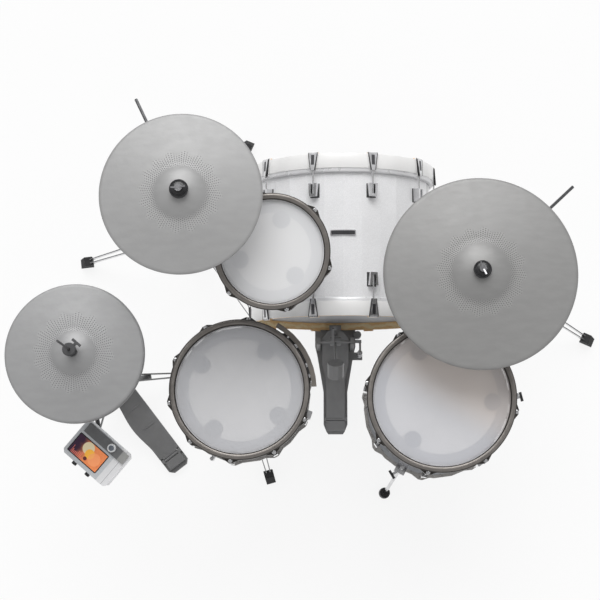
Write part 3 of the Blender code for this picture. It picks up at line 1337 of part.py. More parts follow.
def pedal(kit, looks):
    floor = anchor("pedal_floor", kit, shift(*PEDAL_AT))
    axle_line = [(end, AXLE_ALONG, AXLE_HEIGHT) for end in (-0.08, 0.08)]
    bore = sweep(axle_line, AXLE_RADIUS + SEAT_GAP, 12)
    piece("pedal_frame", pedal_frame_shapes(), looks["grey"], floor, [bore])

    hinge_along, hinge_height = pedal_hinge()
    treadle = anchor("pedal_treadle_axis", floor, shift(0, hinge_along, hinge_height))
    slot = LINK_THICKNESS + 3 * PIN_RADIUS
    footboard(
        "pedal_footboard", FOOTBOARD_LENGTH, FOOTBOARD_REST, FOOTBOARD_HEEL_WIDTH / 2,
        FOOTBOARD_TOE_WIDTH / 2, treadle, looks, slot / 2,
    )

    axle = anchor("pedal_axle", floor, shift(0, AXLE_ALONG, AXLE_HEIGHT))
    axle_left = -POST_SPAN / 2 - POST_THICKNESS - 0.003
    axle_right = SPRING_SIDE + 0.004
    arm_end = polar(LINK_ARM, LINK_ARM_REST)
    arm_in = SEAT_GAP + LINK_THICKNESS / 2
    arm_width = 0.008
    arm = [
        (-0.006, -0.010),
        (arm_end.x, arm_end.y - 0.006),
        (arm_end.x + 0.005, arm_end.y),
        (arm_end.x, arm_end.y + 0.006),
        (-0.006, 0.010),
    ]
    arm_shape = moved(side_profile(arm, arm_width), turned(math.pi / 2))
    head_centre = Vector((0, -BEATER_LENGTH * math.sin(BEATER_REST), BEATER_LENGTH * math.cos(BEATER_REST)))
    head = disc(BEATER_HEAD_RADIUS, -BEATER_HEAD_LENGTH / 2, BEATER_HEAD_LENGTH / 2, 10)
    head = moved(head, turned(BEATER_REST - math.pi / 2, "X"))
    shapes = [
        sweep([(axle_left, 0, 0), (axle_right, 0, 0)], AXLE_RADIUS, 12),
        moved(disc(0.013, -0.016, 0.016, 8), turned(math.pi / 2, "Y")),
        moved(arm_shape, shift(-arm_in - arm_width / 2)),
        sweep([(-arm_in - arm_width / 2, arm_end.x, arm_end.y), (arm_in, arm_end.x, arm_end.y)], PIN_RADIUS),
        sweep([(0, 0, 0), head_centre], BEATER_ROD_RADIUS, 6),
        moved(head, Matrix.Translation(head_centre)),
        strut((SPRING_SIDE, 0, 0), (SPRING_SIDE, -SPRING_ARM - 0.004, 0), SPRING_ARM_WIDTH, SPRING_ARM_DEPTH),
    ]
    piece("pedal_beater", shapes, looks["grey"], axle)

    link_pin = anchor("pedal_link_axis", axle, shift(0, arm_end.x, arm_end.y))
    toe_height = hinge_height + FOOTBOARD_LENGTH * math.sin(FOOTBOARD_REST) - AXLE_HEIGHT - arm_end.y
    half = LINK_THICKNESS / 2
    shapes = [block((-half, -LINK_WIDTH / 2, toe_height), (half, LINK_WIDTH / 2, LINK_WIDTH / 2))]
    hole = sweep([(-0.02, 0, 0), (0.02, 0, 0)], PIN_RADIUS + SEAT_GAP)
    piece("pedal_link", shapes, looks["grey"], link_pin, [hole])
    spring(floor, looks)


def spring(parent, looks):
    """The return spring: a straight tail, the coil and a straight head, as one wire."""
    bottom = PEDAL_PLATE + SEAT_GAP
    top = AXLE_HEIGHT - SPRING_ARM_DEPTH / 2 - SEAT_GAP
    coil_low = bottom + 0.018
    coil_high = top - 0.018
    steps = SPRING_TURNS * SPRING_STEPS
    points = [Vector((0, 0, bottom)), Vector((0, 0, coil_low - 0.006))]
    for step in range(steps + 1):
        share = step / steps
        angle = share * SPRING_TURNS * 2 * math.pi
        points.append(polar(SPRING_RADIUS, angle, coil_low + (coil_high - coil_low) * share))
    points += [Vector((0, 0, coil_high + 0.006)), Vector((0, 0, top))]
    curve = bpy.data.curves.new("pedal_spring", "CURVE")
    curve.dimensions = "3D"
    curve.bevel_depth = SPRING_WIRE
    curve.bevel_resolution = 1
    curve.use_fill_caps = True
    line = curve.splines.new("POLY")
    line.points.add(len(points) - 1)
    for point, place in zip(line.points, points):
        point.co = (*place, 1)
    curve.materials.append(looks["steel"])
    obj = bpy.data.objects.new("pedal_spring", curve)
    bpy.context.scene.collection.objects.link(obj)
    obj.parent = parent
    obj.location = (SPRING_SIDE, AXLE_ALONG - SPRING_ARM, 0)
    pitch = (coil_high - coil_low) / SPRING_TURNS
    print(f"pedal spring: least gap between turns {1000 * (pitch - 2 * SPRING_WIRE):.2f} mm")


# Sound module


def module(kit, looks):
    to_module = Vector((MODULE_AT[0] - HIHAT_AT[0], MODULE_AT[1] - HIHAT_AT[1], 0))
    heading = math.atan2(to_module.y, to_module.x)
    length, width, thickness = MODULE_SIZE
    clamp = anchor("module_clamp_axis", kit, shift(*HIHAT_AT) @ turned(heading))
    low = MODULE_CLAMP_HEIGHT - MODULE_CLAMP_LENGTH / 2
    plate_bottom = MODULE_HEIGHT - thickness - 0.030
    end = to_module.length
    arm = [
        (TOM_CLAMP_RADIUS - 0.004, 0, MODULE_CLAMP_HEIGHT),
        (end - 0.060, 0, MODULE_CLAMP_HEIGHT),
        (end - 0.004, 0, plate_bottom - 0.010),
        (end, 0, plate_bottom + 0.002),
    ]
    neck = block((-0.006, -0.008, 0.002), (0.006, 0.008, 0.020))
    shapes = [
        ring(
            BASE_TUBE_RADIUS + SEAT_GAP, TOM_CLAMP_RADIUS, low, low + MODULE_CLAMP_LENGTH,
            TUBE_SIDES, -heading,
        ),
        sweep(arm, ARM_RADIUS, 6),
        moved(disc(0.016, plate_bottom - 0.006, plate_bottom + 0.003, 8), shift(end)),
        moved(neck, shift(end, 0, plate_bottom) @ turned(MODULE_TURN - heading)),
    ]
    cheek = 0.006
    tongue = moved(disc(0.012, -cheek, cheek, 10), turned(math.pi / 2, "Y"))
    turn = turned(MODULE_TURN - heading)
    pivot = shift(end, 0, plate_bottom + 0.020) @ turn
    shapes.append(moved(tongue, pivot))
    piece("module_arm", shapes, looks["black"], clamp)

    tilt = anchor("module_tilt_axis", clamp, pivot)
    case_bottom = 0.013
    half_x, half_y = length / 2, width / 2
    corner = 0.008
    outline = [
        (half_x - corner, -half_y), (half_x, -half_y + corner),
        (half_x, half_y - corner), (half_x - corner, half_y),
        (-half_x + corner, half_y), (-half_x, half_y - corner),
        (-half_x, -half_y + corner), (-half_x + corner, -half_y),
    ]
    top = case_bottom + thickness
    band = half_y - MODULE_BAND_WIDTH
    dial_at = Vector((length * DIAL_ALONG_SHARE, half_y - MODULE_BAND_WIDTH / 2, top + MODULE_BAND_RISE))
    shapes = [
        prism(outline, case_bottom, top),
        block((-half_x + 0.012, band, top - 0.002), (half_x - 0.004, half_y - 0.002, top + MODULE_BAND_RISE)),
        moved(disc(0.004, dial_at.z - 0.002, dial_at.z + DIAL_HEIGHT * 0.5, 10), shift(dial_at.x, dial_at.y)),
    ]
    for side in (-1, 1):
        low, high = sorted((side * (cheek + SEAT_GAP), side * (cheek + 0.006)))
        shapes.append(block((low, -0.010, -0.010), (high, 0.010, case_bottom + 0.002)))
    for along in (-0.030, 0.015):
        knob = moved(disc(0.007, 0, 0.014, 10), turned(math.pi / 2, "X"))
        shapes.append(moved(knob, shift(along, -half_y + 0.004, case_bottom + thickness * 0.5)))
    tilted = turned(MODULE_TILT, "X")
    piece("module_case", [moved(shape, tilted) for shape in shapes], looks["silver"], tilt)

    spin = anchor("module_dial_axis", tilt, tilted @ Matrix.Translation(dial_at))
    bore = 0.004 + SEAT_GAP
    dial = [
        (bore, SEAT_GAP),
        (DIAL_RADIUS, SEAT_GAP),
        (DIAL_RADIUS * 0.9, DIAL_HEIGHT),
        (0, DIAL_HEIGHT),
        (0, DIAL_HEIGHT * 0.6),
        (bore, DIAL_HEIGHT * 0.6),
    ]
    piece("module_dial", [closed_lathe(dial, 16)], looks["chrome"], spin)


def finishes():
    return {
        "shell": look("white sparkle shell", (0.72, 0.72, 0.74), 0.3),
        "sparkle": look("white sparkle kick", (0.72, 0.72, 0.74), 0.3),
        "white": look("white hoop", (0.80, 0.80, 0.80), 0.25),
        "hoop": look("dark cast hoop", (0.10, 0.09, 0.085), 0.35, 0.8),
        "mesh": look("white mesh", (0.75, 0.75, 0.76), 0.6),
        "clear": look("frosted film", (0.60, 0.60, 0.62), 0.4),
        "dark": look("dark front head", (0.03, 0.03, 0.032), 0.4),
        "plate": look("sensor plate", (0.55, 0.55, 0.56), 0.6),
        "foam": look("trigger foam", (0.05, 0.05, 0.055), 0.9),
        "chrome": look("chrome tube", (0.60, 0.60, 0.61), 0.15, 1.0),
        "steel": look("spring steel", (0.45, 0.45, 0.46), 0.3, 1.0),
        "grey": look("pedal grey", (0.13, 0.13, 0.13), 0.5, 0.3),
        "cymbal": look("grey cymbal", (0.33, 0.33, 0.34), 0.45),
        "black": look("black fitting", (0.02, 0.02, 0.02), 0.5),
        "housing": look("sensor housing", (0.06, 0.058, 0.05), 0.45),
        "silver": look("module silver", (0.50, 0.52, 0.54), 0.35, 0.6),
    }


def main():
    clear_scene()
    looks = finishes()
    kit = anchor("kit", None, shift(-PLAN_MIDDLE[0], -PLAN_MIDDLE[1]))
    kick(kit, looks)
    pedal(kit, looks)
    snare(kit, looks)
    floor_tom(kit, looks)
    cymbal_stand(
        "crash", CRASH_STAND_AT, CRASH_REACH, CRASH_TURN, CRASH_BASE_TUBE_TOP, CRASH_TUBE_BOTTOM,
        CRASH_HEADING, 1, (CRASH_BOOM_FRONT, CRASH_BOOM_TAIL, CRASH_BOOM_SLOPE),
        (CRASH_RADIUS, CRASH_BELL_RADIUS, CRASH_BELL_HEIGHT, CRASH_RISE), CRASH_HEIGHT, kit, looks,
    )
    cymbal_stand(
        "ride", RIDE_STAND_AT, RIDE_REACH, RIDE_TURN, RIDE_BASE_TUBE_TOP, RIDE_TUBE_BOTTOM,
        RIDE_HEADING, -1, (RIDE_BOOM_FRONT, RIDE_BOOM_TAIL, RIDE_BOOM_SLOPE),
        (RIDE_RADIUS, RIDE_BELL_RADIUS, RIDE_BELL_HEIGHT, RIDE_RISE), RIDE_HEIGHT, kit, looks,
    )
    tom(kit, looks)
    hihat(kit, looks)
    hihat_pedal(kit, looks)
    module(kit, looks)


main()
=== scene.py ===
"""Electronic drum kit: finishes, small fittings, stage, light and camera."""

import math

import bmesh
import bpy
from mathutils import Matrix, Vector


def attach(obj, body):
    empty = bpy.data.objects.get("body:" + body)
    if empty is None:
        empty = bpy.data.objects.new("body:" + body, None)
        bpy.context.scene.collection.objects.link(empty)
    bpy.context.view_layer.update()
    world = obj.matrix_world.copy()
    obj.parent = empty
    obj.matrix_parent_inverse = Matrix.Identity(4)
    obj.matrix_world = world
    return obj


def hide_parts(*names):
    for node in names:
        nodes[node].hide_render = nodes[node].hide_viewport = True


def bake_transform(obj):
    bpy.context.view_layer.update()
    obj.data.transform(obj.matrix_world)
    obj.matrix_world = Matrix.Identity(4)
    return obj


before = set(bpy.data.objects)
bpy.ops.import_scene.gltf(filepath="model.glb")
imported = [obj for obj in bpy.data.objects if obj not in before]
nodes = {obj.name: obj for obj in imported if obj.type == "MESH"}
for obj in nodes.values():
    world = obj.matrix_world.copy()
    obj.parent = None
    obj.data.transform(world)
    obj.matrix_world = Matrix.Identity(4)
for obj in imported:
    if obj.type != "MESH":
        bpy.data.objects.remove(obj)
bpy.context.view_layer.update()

# Places and sizes in metres, the photo's in pixels and the sensor's in millimetres
CAMERA_AT = (0.006, -0.6855, 4.7)
PHOTO_FOCAL = 1534
PHOTO_WIDTH = 600
SENSOR_WIDTH = 36
HOOP_TOP = 0.0135
HOOP_INNER = 0.006
HOOP_OUTER = 0.021
EAR_TOP = 0.002
EAR_TOP_BELOW = 0.0105
EAR_AT = 0.0235
NOTCH_RADIUS = 0.0240
NOTCH_INSET = 0.042
PLATE_INSET = 0.029
DRUM_SIDES = 24
KICK_SIDES = 30
ROUND = 0.00015
SPRING_AT = (0.098, -0.1265)
SCREEN_AT = (-0.0176, -0.0131, 0)
DIAL_AT = (0.02325, 0.0385, 0.053)
TOM = dict(name="tom", radius=0.127, depth=0.203, lugs=6, first=-16, notches=3, first_notch=73.7)
SNARE = dict(name="snare", radius=0.165, depth=0.140, lugs=10, first=-25, notches=4, first_notch=56.4)
FLOOR_TOM = dict(name="floor_tom", radius=0.178, depth=0.356, lugs=8, first=-11, notches=3, first_notch=115)
TOM_PLACE = Matrix.Translation((-0.1385, 0.0365, 0.88)) @ Matrix.Rotation(math.radians(9), 4, "X")
SNARE_PLACE = Matrix.Translation((-0.232, -0.2925, 0.661))
FLOOR_TOM_PLACE = Matrix.Translation((0.304, -0.3115, 0.625))
KICK_RADIUS = 0.254
KICK_HOOP_RADIUS = 0.267
KICK_LENGTH = 0.452
KICK_LUGS = 10
LUG_MIDDLE = 0.102
GASKET_HALF_LENGTH = 0.0198
GASKET_HALF_WIDTH = 0.0136
KICK_BEAD = 0.2555
KICK_HOOP_LIP = 0.2605
KICK_TILT = math.radians(3.35)
BADGE_AT = 0.231
KICK_PLACE = Matrix.Translation((0.045, -0.0615, 0.27084)) @ Matrix.Rotation(KICK_TILT - math.pi / 2, 4, "X")
CRASH_AT = (-0.36076, 0.16119, 0)
RIDE_AT = (0.40098, 0.00254, 0)
HIHAT_AT = (-0.644, -0.2155, 0)
LEG_ANGLES = (-119.5, 3.6, 112)
LEG_KNOB_TURNS = (-30, 10, -100)
LEG_RISER = (0.208, 0, -0.195)
HIHAT_HINGE = (
    Matrix.Translation((-0.47629, -0.43284, 0.016))
    @ Matrix.Rotation(math.atan2(0.61092, 0.7917), 4, "Z")
    @ Matrix.Rotation(math.radians(7.5), 4, "X")
)
MODULE_PLACE = (
    Matrix.Translation((-0.6, -0.4585, 0.646))
    @ Matrix.Rotation(math.radians(-40.8), 4, "Z")
    @ Matrix.Rotation(math.radians(6), 4, "X")
)


# Shading


class Finish:
    """A procedural material, built from one shader and the masks that part its zones."""

    def __init__(self, name):
        self.material = bpy.data.materials.new(name)
        self.material.use_nodes = True
        self.tree = self.material.node_tree
        self.tree.nodes.clear()
        self.out = self.node("ShaderNodeOutputMaterial")
        self.shader = self.node("ShaderNodeBsdfPrincipled")
        self.join(self.shader.outputs[0], self.out.inputs[0])
        self.place = self.node("ShaderNodeTexCoord").outputs["Object"]

    def node(self, kind, **settings):
        made = self.tree.nodes.new(kind)
        for key, value in settings.items():
            setattr(made, key, value)
        return made

    def join(self, source, target):
        self.tree.links.new(source, target)

    def feed(self, target, value):
        """Links a socket, or sets a number or colour."""
        if isinstance(value, bpy.types.NodeSocket):
            self.join(value, target)
        else:
            target.default_value = value

    def math(self, operation, *values):
        made = self.node("ShaderNodeMath", operation=operation)
        for socket, value in zip(made.inputs, values):
            self.feed(socket, value)
        return made.outputs[0]

    def times(self, first, second):
        return self.math("MULTIPLY", first, second)

    def plus(self, first, second):
        return self.math("ADD", first, second)

    def minus(self, first, second):
        return self.math("SUBTRACT", first, second)

    def size_of(self, value):
        """The value without its sign."""
        return self.math("ABSOLUTE", value)

    def length(self, x, y):
        """Distance of a point in the plane from the origin."""
        return self.math("SQRT", self.plus(self.times(x, x), self.times(y, y)))

    def split(self, vector):
        made = self.node("ShaderNodeSeparateXYZ")
        self.feed(made.inputs[0], vector)
        return made.outputs

    def ramp(self, value, low, high, start=0.0, end=1.0, smooth=True):
        """Goes from start to end as the value goes from low to high."""
        kind = "SMOOTHSTEP" if smooth else "LINEAR"
        made = self.node("ShaderNodeMapRange", interpolation_type=kind)
        for socket, given in zip(made.inputs, (value, low, high, start, end)):
            self.feed(socket, given)
        return made.outputs[0]

    def local(self, matrix):
        """The point in the frame that this matrix places."""
        made = self.node("ShaderNodeMapping", vector_type="TEXTURE")
        self.join(self.place, made.inputs["Vector"])
        made.inputs["Location"].default_value = matrix.translation
        made.inputs["Rotation"].default_value = matrix.to_euler()
        return made.outputs[0]

    def polar(self, matrix):
        """Height, distance from the axis and angle about it, in the frame that this matrix places."""
        x, y, z = self.split(self.local(matrix))
        across = self.length(x, y)
        return z, across, self.math("ARCTAN2", y, x)

    def point(self, *values):
        made = self.node("ShaderNodeCombineXYZ")
        for socket, value in zip(made.inputs, values):
            self.feed(socket, value)
        return made.outputs[0]

    def brushed(self, x, y, z):
        """The point, stretched along X, for brushed metal."""
        return self.point(self.times(x, 0.5), self.times(y, 20), z)

    def streaked(self, vector):
        """The point, stretched along X and pressed flat, for hammer marks."""
        x, y, _ = self.split(vector)
        return self.point(self.times(x, 0.35), y)

    def stepped(self, x, width):
        """A point that changes only from one column to the next."""
        return self.point(self.times(self.math("FLOOR", self.math("DIVIDE", x, width)), 0.73))

    def noise(self, scale, detail=3, vector=None, rough=0.5):
        made = self.node("ShaderNodeTexNoise")
        self.feed(made.inputs["Vector"], vector if vector is not None else self.place)
        made.inputs["Scale"].default_value = scale
        made.inputs["Detail"].default_value = detail
        made.inputs["Roughness"].default_value = rough
        return made.outputs["Fac"]

    def cells(self, scale, output="Distance", vector=None):
        made = self.node("ShaderNodeTexVoronoi")
        self.feed(made.inputs["Vector"], vector if vector is not None else self.place)
        made.inputs["Scale"].default_value = scale
        return made.outputs[output]

    def mix(self, share, low, high):
        """Mixes two numbers, or two colours where either is one."""
        sockets = [v for v in (low, high) if isinstance(v, bpy.types.NodeSocket)]
        coloured = isinstance(low, tuple) or isinstance(high, tuple) or any(s.type == "RGBA" for s in sockets)
        made = self.node("ShaderNodeMix", data_type="RGBA" if coloured else "FLOAT")
        first, second = (6, 7) if coloured else (2, 3)
        self.feed(made.inputs[0], share)
        for index, value in ((first, low), (second, high)):
            self.feed(made.inputs[index], (*value, 1) if isinstance(value, tuple) else value)
        return made.outputs[2 if coloured else 0]

    def beside_lug(self, angle, radius):
        """Distance round a kick drum's shell from the nearest of its ten lugs."""
        share = self.plus(self.times(angle, KICK_LUGS / (2 * math.pi)), KICK_LUGS + 0.5)
        off = self.size_of(self.minus(self.math("FRACT", share), 0.5))
        return self.times(off, 2 * math.pi / KICK_LUGS * radius)

    def bump(self, height, strength, distance):
        """Adds relief to what relief there is."""
        made = self.node("ShaderNodeBump")
        made.inputs["Strength"].default_value = strength
        made.inputs["Distance"].default_value = distance
        self.join(height, made.inputs["Height"])
        if self.shader.inputs["Normal"].is_linked:
            self.join(self.shader.inputs["Normal"].links[0].from_socket, made.inputs["Normal"])
        self.join(made.outputs[0], self.shader.inputs["Normal"])

    def layers(self, zones):
        """Sets the look from (mask, colour, metal, roughness) zones, the first of them without a mask."""
        _, colour, metal, rough = zones[0]
        for mask, other_colour, other_metal, other_rough in zones[1:]:
            colour = self.mix(mask, colour, other_colour)
            metal = self.mix(mask, metal, other_metal) if metal != other_metal else metal
            rough = self.mix(mask, rough, other_rough) if rough != other_rough else rough
        self.feed(self.shader.inputs["Base Color"], (*colour, 1) if isinstance(colour, tuple) else colour)
        self.feed(self.shader.inputs["Metallic"], metal)
        self.feed(self.shader.inputs["Roughness"], rough)

    def coat(self, weight, rough):
        """A clear coat."""
        self.shader.inputs["Coat Weight"].default_value = weight
        self.shader.inputs["Coat Roughness"].default_value = rough

    def vary(self, colour, amount, scale):
        """The colour, lighter and darker in soft patches."""
        dark = tuple(v * (1 - amount) for v in colour)
        light = tuple(min(1, v * (1 + amount)) for v in colour)
        return self.mix(self.ramp(self.noise(scale, 4), 0.3, 0.7), dark, light)

    def on(self, *objects):
        """Puts the material on objects, in place of what they have."""
        for obj in objects:
            obj.data.materials.clear()
            obj.data.materials.append(self.material)


CHROME = (0.62, 0.62, 0.63)
LUG_CHROME = (0.66, 0.66, 0.67)
RUBBER = (0.018, 0.018, 0.019)
BLACK_GAP = (0.05, 0.05, 0.052)


def scaled(colour, share):
    return tuple(v * share for v in colour)


def chrome_finish(name, feet=0.0, feet_from=None, tint=CHROME):
    """Chrome with faint smears. Below a height, and beyond a distance from an axis, it is black rubber."""
    made = Finish(name)
    metal = made.vary(tint, 0.10, 35)
    zones = [(None, metal, 1.0, made.ramp(made.noise(60), 0.3, 0.8, 0.10, 0.22))]
    if feet:
        height, across, _ = made.polar(Matrix.Translation(feet_from[0]) if feet_from else Matrix())
        mask = made.ramp(height, feet + 0.0005, feet - 0.0005)
        if feet_from:
            mask = made.times(mask, made.ramp(across, feet_from[1] - 0.001, feet_from[1]))
        zones.append((mask, made.vary(RUBBER, 0.3, 90), 0.0, 0.75))
    made.layers(zones)
    made.bump(made.noise(900, 2), 0.04, 0.0004)
    return made


def plain_finish(name, colour, rough, metal=0.0, patches=0.06, bump=0.10):
    """Paint or plastic with soft patches and a fine grain."""
    made = Finish(name)
    spread = made.ramp(made.noise(50), 0.3, 0.7, max(0.03, rough - 0.06), rough + 0.06)
    made.layers([(None, made.vary(colour, patches, 28), metal, spread)])
    made.bump(made.noise(700, 3), bump, 0.0005)
    return made


PAD_METAL = 0.24


def cymbal_finish(name, centre, radius, bell, colour, rows, reach, step):
    """Satin grey pad: fine dimples in rows that fan out of the bell, over soft hammer marks."""
    made = Finish(name)
    place = Matrix.Translation(centre)
    _, across, angle = made.polar(place)
    turn = made.times(angle, rows / (2 * math.pi))
    row = made.minus(made.math("FRACT", turn), 0.5)
    offset = made.times(made.math("MODULO", made.size_of(made.math("FLOOR", turn)), 2), 0.5)
    along = made.minus(made.math("FRACT", made.plus(made.math("DIVIDE", across, step), offset)), 0.5)
    width = made.math("DIVIDE", made.times(across, 2 * math.pi / rows), step)
    sideways = made.times(row, width)
    spread = made.length(sideways, along)
    dot = made.ramp(spread, 0.34, 0.20)
    petals = made.times(made.math("SINE", made.times(angle, 16)), 0.006)
    ragged = made.plus(across, petals)
    zone = made.times(made.ramp(across, bell * 0.86, bell), made.ramp(ragged, reach, reach - 0.010))
    dimples = made.times(dot, zone)
    streaks = made.noise(60, 4, vector=made.streaked(made.local(place)))
    shade = made.mix(made.ramp(streaks, 0.3, 0.7), scaled(colour, 0.970), scaled(colour, 1.03))
    darker = scaled(colour, 0.40)
    lighter = scaled(colour, 1.14)
    rim = made.ramp(across, radius - 0.006, radius - 0.001)
    made.layers([
        (None, shade, PAD_METAL, made.ramp(made.noise(40), 0.3, 0.7, 0.40, 0.46)),
        (zone, lighter, PAD_METAL, 0.45),
        (made.times(dimples, 0.80), darker, 0.0, 0.6),
        (made.times(rim, 0.12), darker, 0.0, 0.5),
    ])
    hammer = made.cells(34, vector=made.local(place))
    made.bump(made.ramp(hammer, 0.0, 0.7), 0.12, 0.0012)
    fine = made.cells(110, vector=made.local(place))
    made.bump(made.ramp(fine, 0.0, 0.7), 0.08, 0.0006)
    made.bump(made.times(dimples, -1), 0.6, 0.0008)
    made.bump(made.noise(1600, 2), 0.05, 0.0003)
    return made


THREAD_PITCH = 0.0024
PAD_SHADE = (0.40, 0.43, 0.50)
NOTCH_SHADE_AT = 0.041


def mesh_finish(name, place, radius, tint, clearness, shadow_tint=None, lobes=None):
    """A woven, see-through head that lets the plate below show softly, with painted shade over its pads and
    round the plate's edge.
    """
    made = Finish(name)
    x, y, _ = made.split(made.local(place))
    weave = []
    for axis in (x, y):
        weave.append(made.size_of(made.math("SINE", made.times(axis, 2 * math.pi / THREAD_PITCH))))
    cloth = made.math("MAXIMUM", *weave)
    shade = made.mix(made.ramp(cloth, 0.2, 1.0), scaled(tint, 0.93), tint)
    # Painted shadow: towards one side the head turns to the shadow tint, as where a cymbal's shadow falls on
    # it.
    if shadow_tint:
        slope = made.plus(made.times(x, 0.55), made.times(y, 0.83))
        shade = made.mix(made.ramp(slope, -0.045, 0.060), shade, shadow_tint)
    across = made.length(x, y)
    # Painted shade: the head turns bluish grey over the bosses' notches and beyond the plate's edge, where
    # the drum's inside shows through.
    if lobes:
        count, first, strength = lobes
        over = made.ramp(across, radius - 0.030, radius - 0.025, 0, 0.7)
        for lobe in range(count):
            angle = math.radians(first) + lobe * 2 * math.pi / count
            reach = radius - NOTCH_SHADE_AT
            away = made.length(made.minus(x, reach * math.cos(angle)), made.minus(y, reach * math.sin(angle)))
            over = made.math("MAXIMUM", over, made.ramp(away, NOTCH_RADIUS + 0.002, NOTCH_RADIUS - 0.004))
        shade = made.mix(made.times(over, strength), shade, PAD_SHADE)
    made.layers([(None, shade, 0.0, 0.55)])
    made.bump(cloth, 0.10, 0.0002)
    film = made.ramp(across, radius + 0.0035, radius + 0.0050)
    hidden = made.mix(film, 1 - clearness, 1.0)
    see = made.node("ShaderNodeBsdfTransparent")
    see.inputs[0].default_value = (1, 1, 1, 1)
    both = made.node("ShaderNodeMixShader")
    made.feed(both.inputs[0], hidden)
    made.join(see.outputs[0], both.inputs[1])
    made.join(made.shader.outputs[0], both.inputs[2])
    made.join(both.outputs[0], made.out.inputs[0])
    return made


KNOB_FROM = 0.0240
KNOB_TO = 0.0325
KNOB_HALF_WIDTH = 0.0140
KNOB_HALF_HEIGHT = 0.0046


def shell_finish(name, place, radius, colour, rough, inside, gaskets=None, knobs=()):
    """A lacquered shell with sparkle, whose lugs and brackets, further out, are chrome."""
    made = Finish(name)
    height, across, angle = made.polar(place)
    lugs = made.ramp(across, radius + 0.0012, radius + 0.0016)
    base = made.vary(colour, 0.025, 14)
    grain = made.split(made.cells(520, "Color"))[0]
    base = made.mix(made.ramp(grain, 0.0, 1.0, 0.0, 0.45), base, scaled(colour, 0.86))
    base = made.mix(made.ramp(grain, 0.93, 0.97, 0, 0.9), base, (0.96, 0.96, 0.97))
    zones = [(None, base, 0.0, rough)]
    if gaskets:
        middle, half_length, half_width, length = gaskets
        beside = made.beside_lug(angle, radius)
        nearest = made.math("MINIMUM", height, made.minus(length, height))
        along = made.size_of(made.minus(nearest, middle))
        narrow = made.ramp(beside, half_width + 0.0004, half_width)
        short = made.ramp(along, half_length + 0.0004, half_length)
        zones.append((made.times(narrow, short), BLACK_GAP, 0.0, 0.5))
    # Inside its wall the shell takes the inside colour, which for the tom, snare and floor tom is painted
    # shade.
    within = made.ramp(across, radius - 0.0035, radius - 0.0045)
    zones.append((within, made.vary(inside, 0.08, 20), 0.0, 0.7))
    zones.append((made.ramp(across, radius + 0.0003, radius + 0.0005), RUBBER, 0.0, 0.6))
    zones.append((lugs, made.vary(LUG_CHROME, 0.08, 50), 1.0, 0.14))
    for knob in knobs:
        along, aside, rise = made.split(made.local(knob))
        near = made.times(made.math("LESS_THAN", along, KNOB_TO), made.math("GREATER_THAN", along, KNOB_FROM))
        beside = made.math("LESS_THAN", made.size_of(aside), KNOB_HALF_WIDTH)
        level = made.math("LESS_THAN", made.size_of(rise), KNOB_HALF_HEIGHT)
        zones.append((made.times(near, made.times(beside, level)), RUBBER, 0.0, 0.4))
    made.layers(zones)
    made.coat(0.4, 0.08)
    made.bump(made.noise(420, 3), 0.06, 0.0004)
    return made


TOP_HOOP = (0.055, 0.050, 0.046)
BOTTOM_HOOP = (0.46, 0.445, 0.43)
# The lighter colour of the painted highlight along a hoop's crown
HOOP_CROWN_HIGHLIGHT = (0.225, 0.208, 0.194)
HOOP_FOOT = -0.0115


def hoop_finish(name, place, radius, wall):
    """A cast hoop in dark satin nickel with a painted highlight along its top, and bright tension rods below
    it.
    """
    made = Finish(name)
    height, across, _ = made.polar(place)
    below = made.ramp(height, HOOP_FOOT, HOOP_FOOT - 0.0010)
    outside = made.ramp(across, radius + 0.0175, radius + 0.0185)
    worn = made.vary(wall, 0.12, 60)
    # Painted highlight: a lighter band along the top of the hoop, where light catches it.
    crown_highlight = made.ramp(across, radius + 0.0068, radius + 0.0085)
    crown_highlight = made.times(crown_highlight, made.ramp(across, radius + 0.0194, radius + 0.0180))
    crown_highlight = made.times(crown_highlight, made.ramp(height, HOOP_TOP - 0.0040, HOOP_TOP - 0.0015))
    made.layers([
        (None, worn, 0.75, made.ramp(made.noise(80), 0.3, 0.7, 0.26, 0.38)),
        (crown_highlight, made.vary(HOOP_CROWN_HIGHLIGHT, 0.10, 45), 0.80, 0.34),
        (made.times(below, outside), CHROME, 1.0, 0.15),
    ])
    made.bump(made.noise(500, 3), 0.08, 0.0005)
    return made


CLAW_HEIGHT = 0.047
CLAW_HALF_FOOT = 0.0140
CLAW_HALF_TOP = 0.0070
SLOT_FROM = 0.0030
SLOT_TO = 0.0330
MAPLE_DARK = (0.88, 0.58, 0.27)
MAPLE_LIGHT = (0.97, 0.79, 0.49)
HOOP_WHITE = (0.945, 0.94, 0.93)


